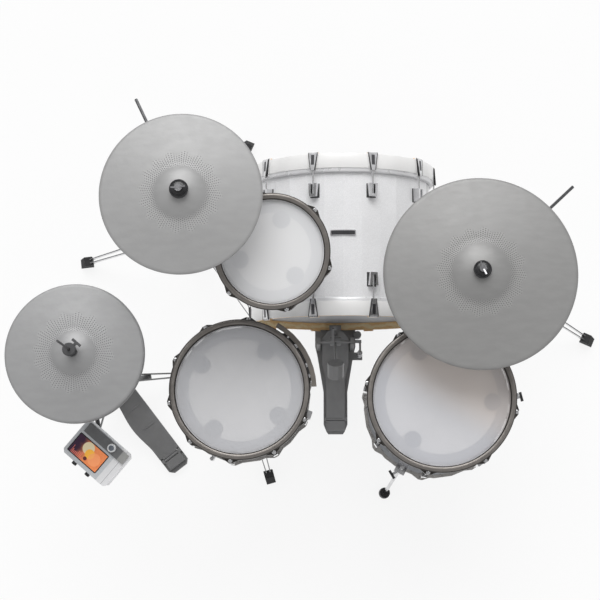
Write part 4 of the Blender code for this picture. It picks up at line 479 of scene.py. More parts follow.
def wood_hoop_finish(name, place, lip):
    """A kick hoop: white lacquer outside, bare maple inside and past the lip, chrome claws further out."""
    made = Finish(name)
    height, across, angle = made.polar(place)
    claws = made.ramp(across, KICK_HOOP_RADIUS + 0.0003, KICK_HOOP_RADIUS + 0.0007)
    inside = made.ramp(across, KICK_HOOP_RADIUS - 0.0070, KICK_HOOP_RADIUS - 0.0085)
    past_lip = made.ramp(across, KICK_HOOP_RADIUS - lip, KICK_HOOP_RADIUS - lip - 0.0010)
    edge = made.times(made.ramp(height, 0.0022, 0.0008), past_lip)
    bare = made.math("MAXIMUM", inside, made.times(edge, 0.9))
    rings = made.node("ShaderNodeTexWave", wave_type="BANDS", bands_direction="Z")
    made.join(made.local(place), rings.inputs["Vector"])
    for key, value in (("Scale", 15), ("Distortion", 4), ("Detail", 3), ("Detail Scale", 2)):
        rings.inputs[key].default_value = value
    streak = made.noise(12, 5, rough=0.65)
    grain = made.times(rings.outputs["Fac"], streak)
    maple = made.mix(made.ramp(grain, 0.1, 0.6), MAPLE_DARK, MAPLE_LIGHT)
    white = made.vary(HOOP_WHITE, 0.02, 20)
    beside = made.beside_lug(angle, KICK_HOOP_RADIUS)
    half = made.ramp(height, 0.0, CLAW_HEIGHT, CLAW_HALF_FOOT, CLAW_HALF_TOP, smooth=False)
    edge_line = made.times(claws, made.ramp(made.minus(half, beside), 0.0026, 0.0018))
    slot = made.times(made.ramp(beside, 0.0050, 0.0042), made.ramp(height, SLOT_FROM, SLOT_FROM + 0.0015))
    slot = made.times(claws, made.times(slot, made.ramp(height, SLOT_TO, SLOT_TO - 0.0020)))
    made.layers([
        (None, white, 0.0, 0.28),
        (bare, maple, 0.0, 0.45),
        (claws, made.vary(LUG_CHROME, 0.16, 60), 1.0, 0.24),
        (slot, (0.10, 0.10, 0.105), 1.0, 0.3),
        (edge_line, BLACK_GAP, 0.9, 0.35),
    ])
    made.coat(0.25, 0.1)
    made.bump(made.noise(300, 3), 0.05, 0.0004)
    return made


# Shapes


def build(name, mesh, finish, body, smooth=38, bevel=0.0, place=None):
    """An object from a bmesh, in the row's frame, riding on a body where one is named."""
    if place is not None:
        mesh.transform(place)
    bmesh.ops.recalc_face_normals(mesh, faces=mesh.faces)
    data = bpy.data.meshes.new(name)
    mesh.to_mesh(data)
    mesh.free()
    obj = bpy.data.objects.new(name, data)
    bpy.context.scene.collection.objects.link(obj)
    data.materials.append(finish.material)
    data.polygons.foreach_set("use_smooth", [True] * len(data.polygons))
    data.set_sharp_from_angle(angle=math.radians(smooth))
    if bevel:
        rounding = obj.modifiers.new("rounding", "BEVEL")
        rounding.width = bevel
        rounding.segments = 2
        rounding.limit_method = "ANGLE"
    if body:
        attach(obj, body)
    return obj


def face(mesh, corners):
    """A face through the corners, where at least three are left once repeats are dropped."""
    single = list(dict.fromkeys(corners))
    if len(single) > 2:
        mesh.faces.new(single)


def bridge(mesh, low, high, sides):
    """Faces between two rings, either of which may be one point on the axis."""
    for side in range(sides):
        at = [low[side % len(low)], low[(side + 1) % sides % len(low)]]
        at += [high[(side + 1) % sides % len(high)], high[side % len(high)]]
        face(mesh, at)


def circle(mesh, distance, height, sides):
    """A ring of vertices about Z, or one vertex where it lies on the axis."""
    if distance == 0:
        return [mesh.verts.new((0, 0, height))]
    turns = [2 * math.pi * side / sides for side in range(sides)]
    return [mesh.verts.new((distance * math.cos(a), distance * math.sin(a), height)) for a in turns]


def lathed(profile, sides, place, into=None, closed=False):
    """A solid turned about Z from (distance, height) points, from axis to axis or a closed outline."""
    mesh = bmesh.new() if into is None else into
    rings = [circle(mesh, distance, height, sides) for distance, height in profile]
    following = rings[1:] + rings[:1] if closed else rings[1:]
    for low, high in zip(rings, following):
        bridge(mesh, low, high, sides)
    bmesh.ops.transform(mesh, matrix=place, verts=[v for ring in rings for v in ring])
    return mesh


def turned_ring(profile, sides, place, into=None):
    """A ring about Z, from a closed outline of (distance, height) points."""
    return lathed(profile, sides, place, into, closed=True)


PAD_HOLE = 0.0068
PAD_THICKNESS = 0.0055


def pad_top(radius, bell, bell_height, rise, distance):
    """Height of a cymbal's upper face below its hole."""
    if distance <= bell:
        sphere = (bell**2 + bell_height**2) / (2 * bell_height)
        return math.sqrt(sphere**2 - distance**2) - sphere
    return -bell_height - (rise - bell_height) * ((distance - bell) / (radius - bell)) ** 1.2


def pad_skin(name, at, radius, bell, bell_height, rise, top, finish, body):
    """A truly round cymbal pad over the faceted one: bell, bow, rolled rim and under face."""
    stations = [PAD_HOLE + (bell - PAD_HOLE) * share / 8 for share in range(9)]
    stations += [bell + (radius - bell) * (share / 16) for share in range(1, 17)]
    upper = []
    for distance in stations:
        upper.append((distance, top + ROUND + pad_top(radius, bell, bell_height, rise, distance)))
    _, edge = upper.pop()
    lower = [(radius - 0.0016, edge - PAD_THICKNESS - ROUND)]
    for distance, height in reversed(upper):
        lower.append((distance, height - PAD_THICKNESS - 2 * ROUND))
    wide = radius + ROUND
    upper += [(radius - 0.0012, edge + 0.0003), (wide, edge - 0.0012), (wide, edge - 0.0040)]
    mesh = turned_ring(upper + lower, 160, Matrix.Translation(at))
    build(name, mesh, finish, body, smooth=60)


def boxed(low, high, place, mesh):
    """Adds a box between two corners to the mesh."""
    made = bmesh.ops.create_cube(mesh, size=1)["verts"]
    for corner in made:
        for axis in range(3):
            corner.co[axis] = low[axis] if corner.co[axis] < 0 else high[axis]
    bmesh.ops.transform(mesh, matrix=place, verts=made)


def plate(outline, low, high, place):
    """A flat outline in X and Y, thickened from one height to another."""
    mesh = bmesh.new()
    under = [mesh.verts.new((x, y, low)) for x, y in outline]
    over = [mesh.verts.new((x, y, high)) for x, y in outline]
    mesh.faces.new(under)
    mesh.faces.new(over)
    bridge(mesh, under, over, len(outline))
    bmesh.ops.transform(mesh, matrix=place, verts=under + over)
    return mesh


def rounded_plate(length, width, corner, low, high, place):
    """A flat rectangle with rounded corners."""
    outline = []
    for quarter, (side_x, side_y) in enumerate(((1, 1), (-1, 1), (-1, -1), (1, -1))):
        for step in range(5):
            angle = math.pi / 2 * (quarter + step / 4)
            x = side_x * (length / 2 - corner) + corner * math.cos(angle)
            outline.append((x, side_y * (width / 2 - corner) + corner * math.sin(angle)))
    return plate(outline, low, high, place)


def tube(points, radius, sides):
    """A round wire along points, closed at both ends."""
    mesh = bmesh.new()
    rings = []
    side_way = Vector((1, 0, 0))
    for index, point in enumerate(points):
        before = points[max(index - 1, 0)]
        after = points[min(index + 1, len(points) - 1)]
        forward = (after - before).normalized()
        side_way = (side_way - forward * side_way.dot(forward)).normalized()
        across = forward.cross(side_way)
        ring = []
        for side in range(sides):
            angle = 2 * math.pi * side / sides
            away = math.cos(angle) * side_way + math.sin(angle) * across
            ring.append(mesh.verts.new(point + radius * away))
        rings.append(ring)
    for low, high in zip(rings, rings[1:]):
        bridge(mesh, low, high, sides)
    mesh.faces.new(rings[0])
    mesh.faces.new(rings[-1])
    return mesh


def spun(angle, distance, height):
    """A place round Z, at a distance and height."""
    return Matrix.Rotation(angle, 4, "Z") @ Matrix.Translation((distance, 0, height))


# Finishes and added pieces, part by part


SHELL_SILVER = (0.74, 0.74, 0.75)
# The inside of the drum shells, painted a dark bluish grey as the shade within the drum
SHELL_INSIDE_SHADE = (0.34, 0.36, 0.40)
RIM_FOOT = -0.0112
ROD_HEAD = 0.0026
PLATE_LOW = -0.0257
PLATE_TOP = -0.0217
BOSS_AT = -0.0252


def cast_rim(radius):
    """Outline of a top hoop's round skin."""
    inner = (radius + HOOP_INNER) * math.cos(math.pi / DRUM_SIDES) - ROUND
    outer = radius + HOOP_OUTER + ROUND
    outline = [
        (inner, 0.0025), (inner, HOOP_TOP - 0.0032), (inner + 0.0018, HOOP_TOP - 0.0012),
        (inner + 0.0045, HOOP_TOP - 0.0001), ((inner + outer) / 2, HOOP_TOP + ROUND),
        (outer - 0.0045, HOOP_TOP - 0.0001), (outer - 0.0018, HOOP_TOP - 0.0012), (outer, HOOP_TOP - 0.0032),
        (outer, RIM_FOOT), (inner + 0.006, RIM_FOOT),
    ]
    return outline


def notched_disc(drum):
    """Outline of a sensor plate: a disc with a round notch for each boss."""
    outline = []
    for step in range(360):
        angle = math.radians(step)
        reach = drum["radius"] - PLATE_INSET
        middle = drum["radius"] - NOTCH_INSET
        for notch in range(drum["notches"]):
            off = angle - math.radians(drum["first_notch"]) - notch * 2 * math.pi / drum["notches"]
            across = abs(middle * math.sin(off))
            if across < NOTCH_RADIUS and math.cos(off) > 0:
                reach = min(reach, middle * math.cos(off) - math.sqrt(NOTCH_RADIUS**2 - across**2))
        outline.append((reach * math.cos(angle), reach * math.sin(angle)))
    return outline


def finish_drum(drum, place, body, tint, clearness, pad_shade, shadow_tint=None, knobs=()):
    """Looks of one drum's nodes, with its round rim, sensor plate, rod heads and bosses."""
    name = drum["name"]
    radius = drum["radius"]
    under = place @ Matrix.Translation((0, 0, -drum["depth"])) @ Matrix.Rotation(math.pi, 4, "X")
    shell = shell_finish(name + " shell", place, radius, SHELL_SILVER, 0.3, SHELL_INSIDE_SHADE, knobs=knobs)
    shell.on(nodes[name + "_shell"])
    cast = hoop_finish(name + " top hoop", place, radius, TOP_HOOP)
    cast.on(nodes[name + "_top_hoop"])
    build(name + "_rim", turned_ring(cast_rim(radius), 144, place), cast, body, smooth=50)
    hoop_finish(name + " bottom hoop", under, radius, BOTTOM_HOOP).on(nodes[name + "_bottom_hoop"])
    lobes = (drum["notches"], drum["first_notch"], pad_shade)
    mesh_finish(name + " head", place, radius - 0.001, tint, clearness, shadow_tint, lobes).on(nodes[name + "_head"])
    plain_finish(name + " bottom head", (0.40, 0.41, 0.43), 0.4).on(nodes[name + "_bottom_head"])
    white_plate = plain_finish(name + " plate", (0.93, 0.92, 0.90), 0.6)
    white_plate.on(nodes[name + "_sensor_plate"])
    disc = plate(notched_disc(drum), PLATE_LOW, PLATE_TOP, place)
    notched = build(name + "_plate", disc, white_plate, body, smooth=30)
    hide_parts(name + "_sensor_plate")

    # Square heads and washers of the tension rods, on the hoops' ears
    rods = bmesh.new()
    washer = [(0, -0.002), (0.0058, -0.002), (0.0058, 0.0012), (0.0044, 0.0016), (0, 0.0016)]
    for end, ear, first in ((place, EAR_TOP, drum["first"]), (under, EAR_TOP_BELOW, -drum["first"])):
        for lug in range(drum["lugs"]):
            angle = math.radians(first) + lug * 2 * math.pi / drum["lugs"]
            at = end @ spun(angle, radius + EAR_AT, ear)
            lathed(washer, 16, at, rods)
            boxed((-ROD_HEAD, -ROD_HEAD, 0.0), (ROD_HEAD, ROD_HEAD, 0.0095), at, rods)
    build(name + "_rod_heads", rods, rod_chrome, body, bevel=0.0006)

    # Bosses in the notches of the sensor plate, each with a dark screw
    boss = [(0, 0.0), (0.0205, 0.0), (0.0220, 0.0015), (0.0220, 0.0040), (0.0205, 0.0055), (0, 0.0055)]
    screw = [(0, 0.005), (0.0022, 0.005), (0.0020, 0.0066), (0, 0.0070)]
    bosses = bmesh.new()
    screws = bmesh.new()
    for notch in range(drum["notches"]):
        angle = math.radians(drum["first_notch"]) + notch * 2 * math.pi / drum["notches"]
        at = place @ spun(angle, radius - NOTCH_INSET, BOSS_AT)
        lathed(boss, 32, at, bosses)
        lathed(screw, 12, at, screws)
    build(name + "_bosses", bosses, boss_grey, body)
    build(name + "_boss_screws", screws, screw_black, body)


def leg_knobs():
    """Where the wing bolts of the floor tom's leg brackets stand out from their collars."""
    made = []
    for angle, turn in zip(LEG_ANGLES, LEG_KNOB_TURNS):
        riser = FLOOR_TOM_PLACE @ Matrix.Rotation(math.radians(angle), 4, "Z") @ Matrix.Translation(LEG_RISER)
        made.append(riser @ Matrix.Rotation(math.radians(turn), 4, "Z"))
    return made


rod_chrome = chrome_finish("rod chrome")
boss_grey = plain_finish("boss grey", (0.20, 0.22, 0.25), 0.6)
screw_black = plain_finish("screw black", (0.04, 0.04, 0.045), 0.5)

# The tom's head is painted lighter than the snare's and floor tom's, to make up for the crash cymbal's shadow
# over it and its tilt away from the light.
finish_drum(TOM, TOM_PLACE, "rack_tom", (0.985, 0.985, 0.99), 0.34, 0.17)
finish_drum(SNARE, SNARE_PLACE, "snare", (0.83, 0.83, 0.85), 0.54, 0.08)
# The floor tom's head has a painted shadow: a warm tint towards the ride cymbal, where the ride's shadow
# falls.
finish_drum(
    FLOOR_TOM, FLOOR_TOM_PLACE, "floor_tom", (0.80, 0.80, 0.83), 0.50, 0.20,
    shadow_tint=(0.88, 0.81, 0.77), knobs=leg_knobs(),
)

# Kick drum
kick_shell = shell_finish(
    "kick shell", KICK_PLACE, KICK_RADIUS, (0.91, 0.91, 0.92), 0.25, (0.5, 0.4, 0.3),
    gaskets=(LUG_MIDDLE, GASKET_HALF_LENGTH, GASKET_HALF_WIDTH, KICK_LENGTH),
)
kick_shell.on(nodes["kick_shell"])
KICK_FRONT = KICK_PLACE @ Matrix.Translation((0, 0, KICK_LENGTH)) @ Matrix.Rotation(math.pi, 4, "Y")
collar_steel = plain_finish("collar steel", (0.82, 0.82, 0.83), 0.32, metal=0.2, patches=0.02, bump=0.02)
hoop_woods = {
    "batter": wood_hoop_finish("batter hoop", KICK_PLACE, 0.0016),
    "front": wood_hoop_finish("front hoop", KICK_FRONT, 0.0045),
}
for label, wood in hoop_woods.items():
    wood.on(nodes[f"kick_{label}_hoop"])
batter = mesh_finish("kick batter head", KICK_PLACE, KICK_RADIUS, (0.75, 0.76, 0.78), 0.30)
batter.on(nodes["kick_batter_head"])
plain_finish("kick front head", (0.022, 0.022, 0.024), 0.35, bump=0.04).on(nodes["kick_front_head"])
plain_finish("trigger foam", RUBBER, 0.9, bump=0.4).on(nodes["kick_trigger"])

# Round skins over the kick's hoops, and the steel collars of its heads
inner = KICK_BEAD * math.cos(math.pi / KICK_SIDES) - ROUND
outer = KICK_HOOP_RADIUS + ROUND
hoop_outline = [
    (inner, -0.0002), (outer - 0.0018, -0.0002), (outer - 0.0005, 0.0004), (outer, 0.0018), (outer, 0.0396),
    (outer - 0.0005, 0.0408), (outer - 0.0018, 0.0412), (KICK_HOOP_LIP, 0.0412), (KICK_HOOP_LIP, 0.0208),
    (inner, 0.0208),
]
collar_outline = [
    (0.2546, 0.0400), (0.2645, 0.0400), (0.2645, 0.0498),
    (0.2632, 0.0518), (0.2608, 0.0526), (0.2546, 0.0526),
]
for label, end in (("batter", KICK_PLACE), ("front", KICK_FRONT)):
    hoop = turned_ring(hoop_outline, 160, end)
    build(label + "_hoop_skin", hoop, hoop_woods[label], "floor_standing", smooth=50)
    collar = turned_ring(collar_outline, 160, end)
    build(label + "_head_collar", collar, collar_steel, "floor_standing", smooth=50)

# A bare plate on the kick shell's top, bent to it
BADGE_CORNERS = 48
BADGE_SQUARENESS = 0.16
BADGE_FOOT = 0.2515
BADGE_CHAMFER = 0.0005
BADGE_SHRINK = 0.0004
badge_chrome = chrome_finish("badge chrome", tint=(0.75, 0.75, 0.76))
badge_dark = plain_finish("badge centre", (0.030, 0.030, 0.033), 0.35)
for label, half_x, half_z, top, finish in (
    ("badge_rim", 0.0352, 0.0081, 0.2562, badge_chrome),
    ("badge_centre", 0.0325, 0.0055, 0.2566, badge_dark),
):
    outline = []
    for corner in range(BADGE_CORNERS):
        angle = 2 * math.pi * corner / BADGE_CORNERS
        rounded = [math.copysign(abs(v) ** BADGE_SQUARENESS, v) for v in (math.cos(angle), math.sin(angle))]
        outline.append((rounded[0] * half_x, rounded[1] * half_z))
    mesh = bmesh.new()
    layers = []
    for reach in (BADGE_FOOT, top - BADGE_CHAMFER, top):
        shrink = BADGE_SHRINK if reach == top else 0
        ring = []
        for x, z in outline:
            turn = x * (1 - shrink / half_x) / KICK_RADIUS
            along = BADGE_AT + z * (1 - shrink / half_z)
            ring.append(mesh.verts.new((reach * math.sin(turn), -reach * math.cos(turn), along)))
        layers.append(ring)
    for lower, upper in zip(layers, layers[1:]):
        bridge(mesh, lower, upper, BADGE_CORNERS)
    for ring in (layers[0], layers[-1]):
        for corner in range(BADGE_CORNERS // 2):
            face(mesh, [ring[corner], ring[corner + 1], ring[-1 - corner], ring[-corner]])
    build(label, mesh, finish, "floor_standing", place=KICK_PLACE, smooth=30)

# Spurs, and the floor tom's legs with their rubber feet
FOOT_TOP = 0.0345
foot_rubber = plain_finish("foot rubber", (0.022, 0.022, 0.023), 0.45)
foot_outline = [
    (0.0066, 0.0002), (0.0160, 0.0002), (0.0166, 0.0020), (0.0164, 0.0270), (0.0140, FOOT_TOP),
    (0.0125, 0.0350), (0.0118, 0.0330), (0.0090, 0.0330), (0.0085, 0.0350), (0.0066, 0.0350),
]
for side in ("left", "right"):
    chrome_finish(f"spur {side}", feet=0.024).on(nodes["kick_spur_" + side])
for number in (1, 2, 3):
    leg = nodes[f"floor_tom_leg_{number}"]
    chrome_finish(f"floor tom leg {number}", feet=FOOT_TOP).on(leg)
    soles = [leg.matrix_world @ v.co for v in leg.data.vertices if (leg.matrix_world @ v.co).z < 0.004]
    middle = sum(soles, Vector()) / len(soles)
    foot = turned_ring(foot_outline, 48, Matrix.Translation((middle.x, middle.y, 0)))
    build(f"floor_tom_foot_{number}", foot, foot_rubber, "floor_standing", smooth=35)

# Stands
chrome_finish("tom arm").on(nodes["tom_arm"])
chrome_finish("snare basket").on(nodes["snare_stand_basket"])
chrome_finish("snare tube").on(nodes["snare_stand_tube"])
FOOT_LENGTH = 0.044
STANDS = (
    ("crash_tripod", (-0.3915, 0.2075, 0), 0.357),
    ("ride_tripod", (0.4755, 0.062, 0), 0.350),
    ("snare_stand_tripod", (SNARE_PLACE.translation.x, SNARE_PLACE.translation.y, 0), 0.209),
)
for name, centre, reach in STANDS:
    chrome_finish(name, feet=FOOT_TOP, feet_from=(centre, reach - FOOT_LENGTH)).on(nodes[name])
for stand in ("crash", "ride"):
    chrome_finish(stand + " tube").on(nodes[stand + "_tube"])
    plain_finish(stand + " boom", (0.085, 0.085, 0.090), 0.42, metal=0.35).on(nodes[stand + "_boom"])

# The pedals' flat grey, painted lighter to make up for the shadow of the drums over them
grey = plain_finish("pedal grey", (0.180, 0.180, 0.181), 0.5, metal=0.15, patches=0.04)
for name in ("hihat_tripod", "hihat_tube", "hihat_pedal_frame", "hihat_footboard"):
    grey.on(nodes[name])

# The hi-hat's board: straight on the drum's side, bowed on the other, with its hinge barrel and grips
BOARD_EDGE = 0.0352
BOARD_BOW = 0.0100
BOW_FROM = 0.016
BOW_LENGTH = 0.206
GRIPS_AT = (0.112, 0.182)
outline = [(-0.0247, 0.0052), (-0.0247, 0.0100), (-0.0345, 0.0105), (-BOARD_EDGE, 0.0120)]
for step in range(21):
    share = step / 20
    bow = math.sin(math.pi * max(0.0, share - 0.15) / 0.85) ** 1.4
    outline.append((-BOARD_EDGE - BOARD_BOW * bow, BOW_FROM + BOW_LENGTH * share))
outline += [
    (-0.0330, 0.2280), (-0.0210, 0.2350), (-0.0210, 0.2580), (-0.0116, 0.2803), (0.0116, 0.2803),
    (0.0210, 0.2580), (0.0210, 0.2350), (0.0330, 0.2290), (BOARD_EDGE, 0.2260), (BOARD_EDGE, 0.0120),
    (0.0345, 0.0105), (0.0247, 0.0100), (0.0247, 0.0052),
]
board = plate(outline, 0.0, 0.006, Matrix())
barrel = [(0.0034, -0.0246), (0.0060, -0.0246), (0.0060, 0.0246), (0.0034, 0.0246)]
turned_ring(barrel, 32, Matrix.Rotation(math.pi / 2, 4, "Y"), board)
for along in GRIPS_AT:
    boxed((-0.018, along, 0.005), (0.018, along + 0.006, 0.0075), Matrix(), board)
build("hihat_board", board, grey, "hihat_treadle", bevel=0.0008, place=HIHAT_HINGE)
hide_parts("hihat_footboard")
plain_finish("rod grey", (0.095, 0.095, 0.097), 0.4, metal=0.3).on(nodes["hihat_rod"], nodes["hihat_clutch"])
clutch_outline = [
    (0.0042, 0.9075), (0.0150, 0.9075), (0.0168, 0.9090),
    (0.0168, 0.9140), (0.0150, 0.9155), (0.0042, 0.9155),
]
cup_grey = plain_finish("clutch cup grey", (0.060, 0.060, 0.062), 0.45)
clutch_cup = turned_ring(clutch_outline, 48, Matrix.Translation(HIHAT_AT))
build("clutch_cup", clutch_cup, cup_grey, "hihat_top", smooth=35)

# Kick pedal, in a grey painted lighter still, to make up for the shadow over it
pedal_grey_painted_light = plain_finish("kick pedal grey", (0.310, 0.310, 0.313), 0.45, metal=0.2, patches=0.05)
for name in ("pedal_frame", "pedal_footboard", "pedal_beater", "pedal_link"):
    pedal_grey_painted_light.on(nodes[name])

# The pedal's return spring, close-wound, with a straight hook at each end
SPRING_TURNS = 14
STEPS_PER_TURN = 15
SPRING_RADIUS = 0.0068
WIRE_RADIUS = 0.0011
HOOK = Vector((0, 0, 0.012))
COIL_FROM = 0.01115
COIL_LENGTH = 0.08319
spring_wire = plain_finish("spring wire", (0.45, 0.45, 0.46), 0.25, metal=1.0)
spring_wire.on(nodes["pedal_spring"])
low = Vector((*SPRING_AT, 0.0055))
high = Vector((*SPRING_AT, 0.1195))
route = [low, low + HOOK]
for step in range(SPRING_TURNS * STEPS_PER_TURN + 1):
    share = step / (SPRING_TURNS * STEPS_PER_TURN)
    angle = share * SPRING_TURNS * 2 * math.pi
    rise = COIL_FROM + COIL_LENGTH * share
    route.append(low + Vector((SPRING_RADIUS * math.cos(angle), SPRING_RADIUS * math.sin(angle), rise)))
route += [high - HOOK, high]
spring = build("spring", tube(route, WIRE_RADIUS, 8), spring_wire, None, smooth=60)
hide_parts("pedal_spring")
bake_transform(spring)

# Cymbal pads: radius, bell radius, bell height, rise and top
CRASH = (0.2032, 0.070, 0.022, 0.040, 1.040)
RIDE = (0.254, 0.083, 0.024, 0.046, 0.795)
HIHAT = (0.1778, 0.060, 0.018, 0.032, 0.865)
crash_pad = cymbal_finish("crash pad", CRASH_AT, *CRASH[:2], (0.362, 0.361, 0.360), 92, 0.103, 0.0054)
crash_pad.on(nodes["crash_cymbal"])
ride_pad = cymbal_finish("ride pad", RIDE_AT, *RIDE[:2], (0.288, 0.286, 0.282), 106, 0.117, 0.0056)
ride_pad.on(nodes["ride_cymbal"])
hats = cymbal_finish("hi-hat pad", HIHAT_AT, *HIHAT[:2], (0.334, 0.334, 0.336), 84, 0.104, 0.0054)
hats.on(nodes["hihat_top_cymbal"], nodes["hihat_bottom_cymbal"])
lower_rim = [
    (0.1700, 0.8035), (0.1768, 0.8035), (0.17795, 0.8050),
    (0.17795, 0.8080), (0.1768, 0.8097), (0.1700, 0.8097),
]
rolled = turned_ring(lower_rim, 128, Matrix.Translation(HIHAT_AT))
build("lower_hihat_rim", rolled, hats, "hihat_upper", smooth=60)
pad_skin("crash_skin", CRASH_AT, *CRASH, crash_pad, "crash_pad")
pad_skin("ride_skin", RIDE_AT, *RIDE, ride_pad, "ride_pad")
pad_skin("hihat_skin", HIHAT_AT, *HIHAT, hats, "hihat_top")

# Wing nuts: black cup below, bright sleeve and wings above
CUP_DROP = 0.0156
cup_black = plain_finish("cup black", (0.020, 0.020, 0.022), 0.22)
cup_outline = [
    (0.0040, 0.0012), (0.0205, 0.0012), (0.0232, 0.0030), (0.0238, 0.0070),
    (0.0232, 0.0112), (0.0205, 0.0128), (0.0185, 0.0120), (0.0178, 0.0100),
    (0.0165, 0.0098), (0.0158, 0.0150), (0.0110, 0.0165), (0.0040, 0.0165),
]
for stand, centre, split_at in (("crash", CRASH_AT, 1.0582), ("ride", RIDE_AT, 0.8132)):
    made = Finish(stand + " nut")
    height, _, _ = made.polar(Matrix.Translation(centre))
    made.layers([
        (None, made.vary((0.022, 0.022, 0.024), 0.2, 60), 0.0, 0.42),
        (made.ramp(height, split_at - 0.0006, split_at), made.vary((0.30, 0.30, 0.31), 0.12, 80), 1.0, 0.22),
    ])
    made.bump(made.noise(700, 2), 0.06, 0.0004)
    made.on(nodes[stand + "_nut"])
    cup = turned_ring(cup_outline, 64, Matrix.Translation((centre[0], centre[1], split_at - CUP_DROP)))
    build(stand + "_nut_cup", cup, cup_black, stand + "_wing_nut", smooth=35)

# Rim sensor: a taupe outer bar, and a black plate with two bolts
made = Finish("sensor housing")
_, across, _ = made.polar(SNARE_PLACE)
made.layers([
    (None, made.vary((0.020, 0.020, 0.021), 0.2, 50), 0.0, 0.45),
    (made.ramp(across, 0.1900, 0.1908), made.vary((0.155, 0.140, 0.125), 0.10, 40), 0.3, 0.4),
])
made.bump(made.noise(600, 2), 0.08, 0.0004)
made.on(nodes["snare_rim_sensor"])
washer = [(0, 0.002), (0.0062, 0.002), (0.0062, 0.0072), (0.0052, 0.0080), (0, 0.0080)]
bolt = [(0, 0.007), (0.0034, 0.007), (0.0034, 0.0112), (0.0026, 0.0122), (0, 0.0124)]
bolts = bmesh.new()
for x, y in ((0.1494, 0.1149), (0.1775, 0.0642)):
    at = SNARE_PLACE @ Matrix.Translation((x, y, 0.0))
    lathed(washer, 24, at, bolts)
    lathed(bolt, 6, at, bolts)
build("sensor_bolts", bolts, rod_chrome, "snare", bevel=0.0003)

# Module: silver body, dark band with a lighter block, pale end panel, black knobs
BAND_FROM = 0.0472
END_BLOCK_FROM = 0.0515
PANEL_FROM = 0.0430
GROOVE_AT = 0.0600
KNOBS_PAST = -0.0534
made = Finish("module case")
x, y, z = made.split(made.local(MODULE_PLACE))
band = made.ramp(z, BAND_FROM, BAND_FROM + 0.0004)
end_block = made.times(band, made.ramp(x, END_BLOCK_FROM, END_BLOCK_FROM + 0.0005))
panel = made.ramp(x, PANEL_FROM, PANEL_FROM + 0.0004)
groove = made.times(panel, made.ramp(made.size_of(made.minus(x, GROOVE_AT)), 0.0007, 0.0004))
knobs = made.ramp(y, KNOBS_PAST, KNOBS_PAST - 0.0004)
brushed = made.noise(40, 4, vector=made.brushed(x, y, z))
made.layers([
    (None, made.mix(made.ramp(brushed, 0.3, 0.7), (0.56, 0.58, 0.60), (0.66, 0.68, 0.70)), 0.25, 0.36),
    (panel, made.vary((0.80, 0.80, 0.81), 0.02, 30), 0.0, 0.3),
    (groove, (0.35, 0.35, 0.36), 0.0, 0.4),
    (band, made.vary((0.150, 0.152, 0.155), 0.06, 60), 0.2, 0.42),
    (end_block, made.vary((0.34, 0.34, 0.33), 0.05, 60), 0.2, 0.42),
    (knobs, RUBBER, 0.0, 0.5),
])
made.bump(made.noise(900, 2), 0.05, 0.0003)
made.on(nodes["module_case"])

# Screen: black bezel and a lit picture of plain discs and level bars
screen_place = MODULE_PLACE @ Matrix.Translation(SCREEN_AT)
bezel = rounded_plate(0.099, 0.059, 0.004, 0.0460, 0.0477, screen_place)
build("screen_bezel", bezel, plain_finish("bezel", (0.012, 0.012, 0.014), 0.22), "module", bevel=0.0003)
glass = rounded_plate(0.0935, 0.0535, 0.0012, 0.0470, 0.0480, screen_place)
made = Finish("screen picture")
x, y, _ = made.split(made.local(screen_place))
BAR_WIDTH = 0.0042
SPOT_EDGE = 0.0006


def spot(across, up, radius):
    """Mask of a disc on the screen."""
    away = made.length(made.minus(x, across), made.minus(y, up))
    return made.ramp(away, radius + SPOT_EDGE, radius - SPOT_EDGE)


left_right = made.ramp(made.plus(x, made.times(made.noise(60, 3), 0.020)), -0.022, 0.012)
picture = made.mix(left_right, (0.026, 0.005, 0.026), (0.76, 0.24, 0.08))
cloud = made.times(made.ramp(made.noise(150, 4), 0.35, 0.7, 0, 0.45), left_right)
picture = made.mix(cloud, picture, (0.62, 0.16, 0.07))
picture = made.mix(spot(-0.006, 0.010, 0.0165), picture, (0.66, 0.56, 0.36))
picture = made.mix(spot(0.006, 0.000, 0.0130), picture, (0.84, 0.42, 0.05))
picture = made.mix(made.times(spot(0.024, -0.004, 0.0170), 0.65), picture, (0.86, 0.33, 0.14))
picture = made.mix(spot(0.003, -0.0165, 0.0052), picture, (0.10, 0.02, 0.02))
bar_turn = made.math("FRACT", made.times(x, 1 / BAR_WIDTH))
bar_height = made.ramp(made.noise(1, 0, vector=made.stepped(x, BAR_WIDTH)), 0.3, 0.7, -0.022, -0.004)
bars = made.times(made.ramp(bar_turn, 0.18, 0.22), made.ramp(bar_turn, 0.80, 0.76))
bars = made.times(bars, made.math("LESS_THAN", y, bar_height))
at_left = made.times(made.math("GREATER_THAN", x, -0.040), made.math("LESS_THAN", x, -0.004))
bars = made.times(bars, at_left)
picture = made.mix(made.times(bars, 0.8), picture, (0.72, 0.18, 0.13))
made.layers([(None, picture, 0.0, 0.12)])
made.feed(made.shader.inputs["Emission Color"], picture)
made.shader.inputs["Emission Strength"].default_value = 0.30
made.bump(made.noise(30, 1), 0.02, 0.0002)
build("screen_glass", glass, made, "module")

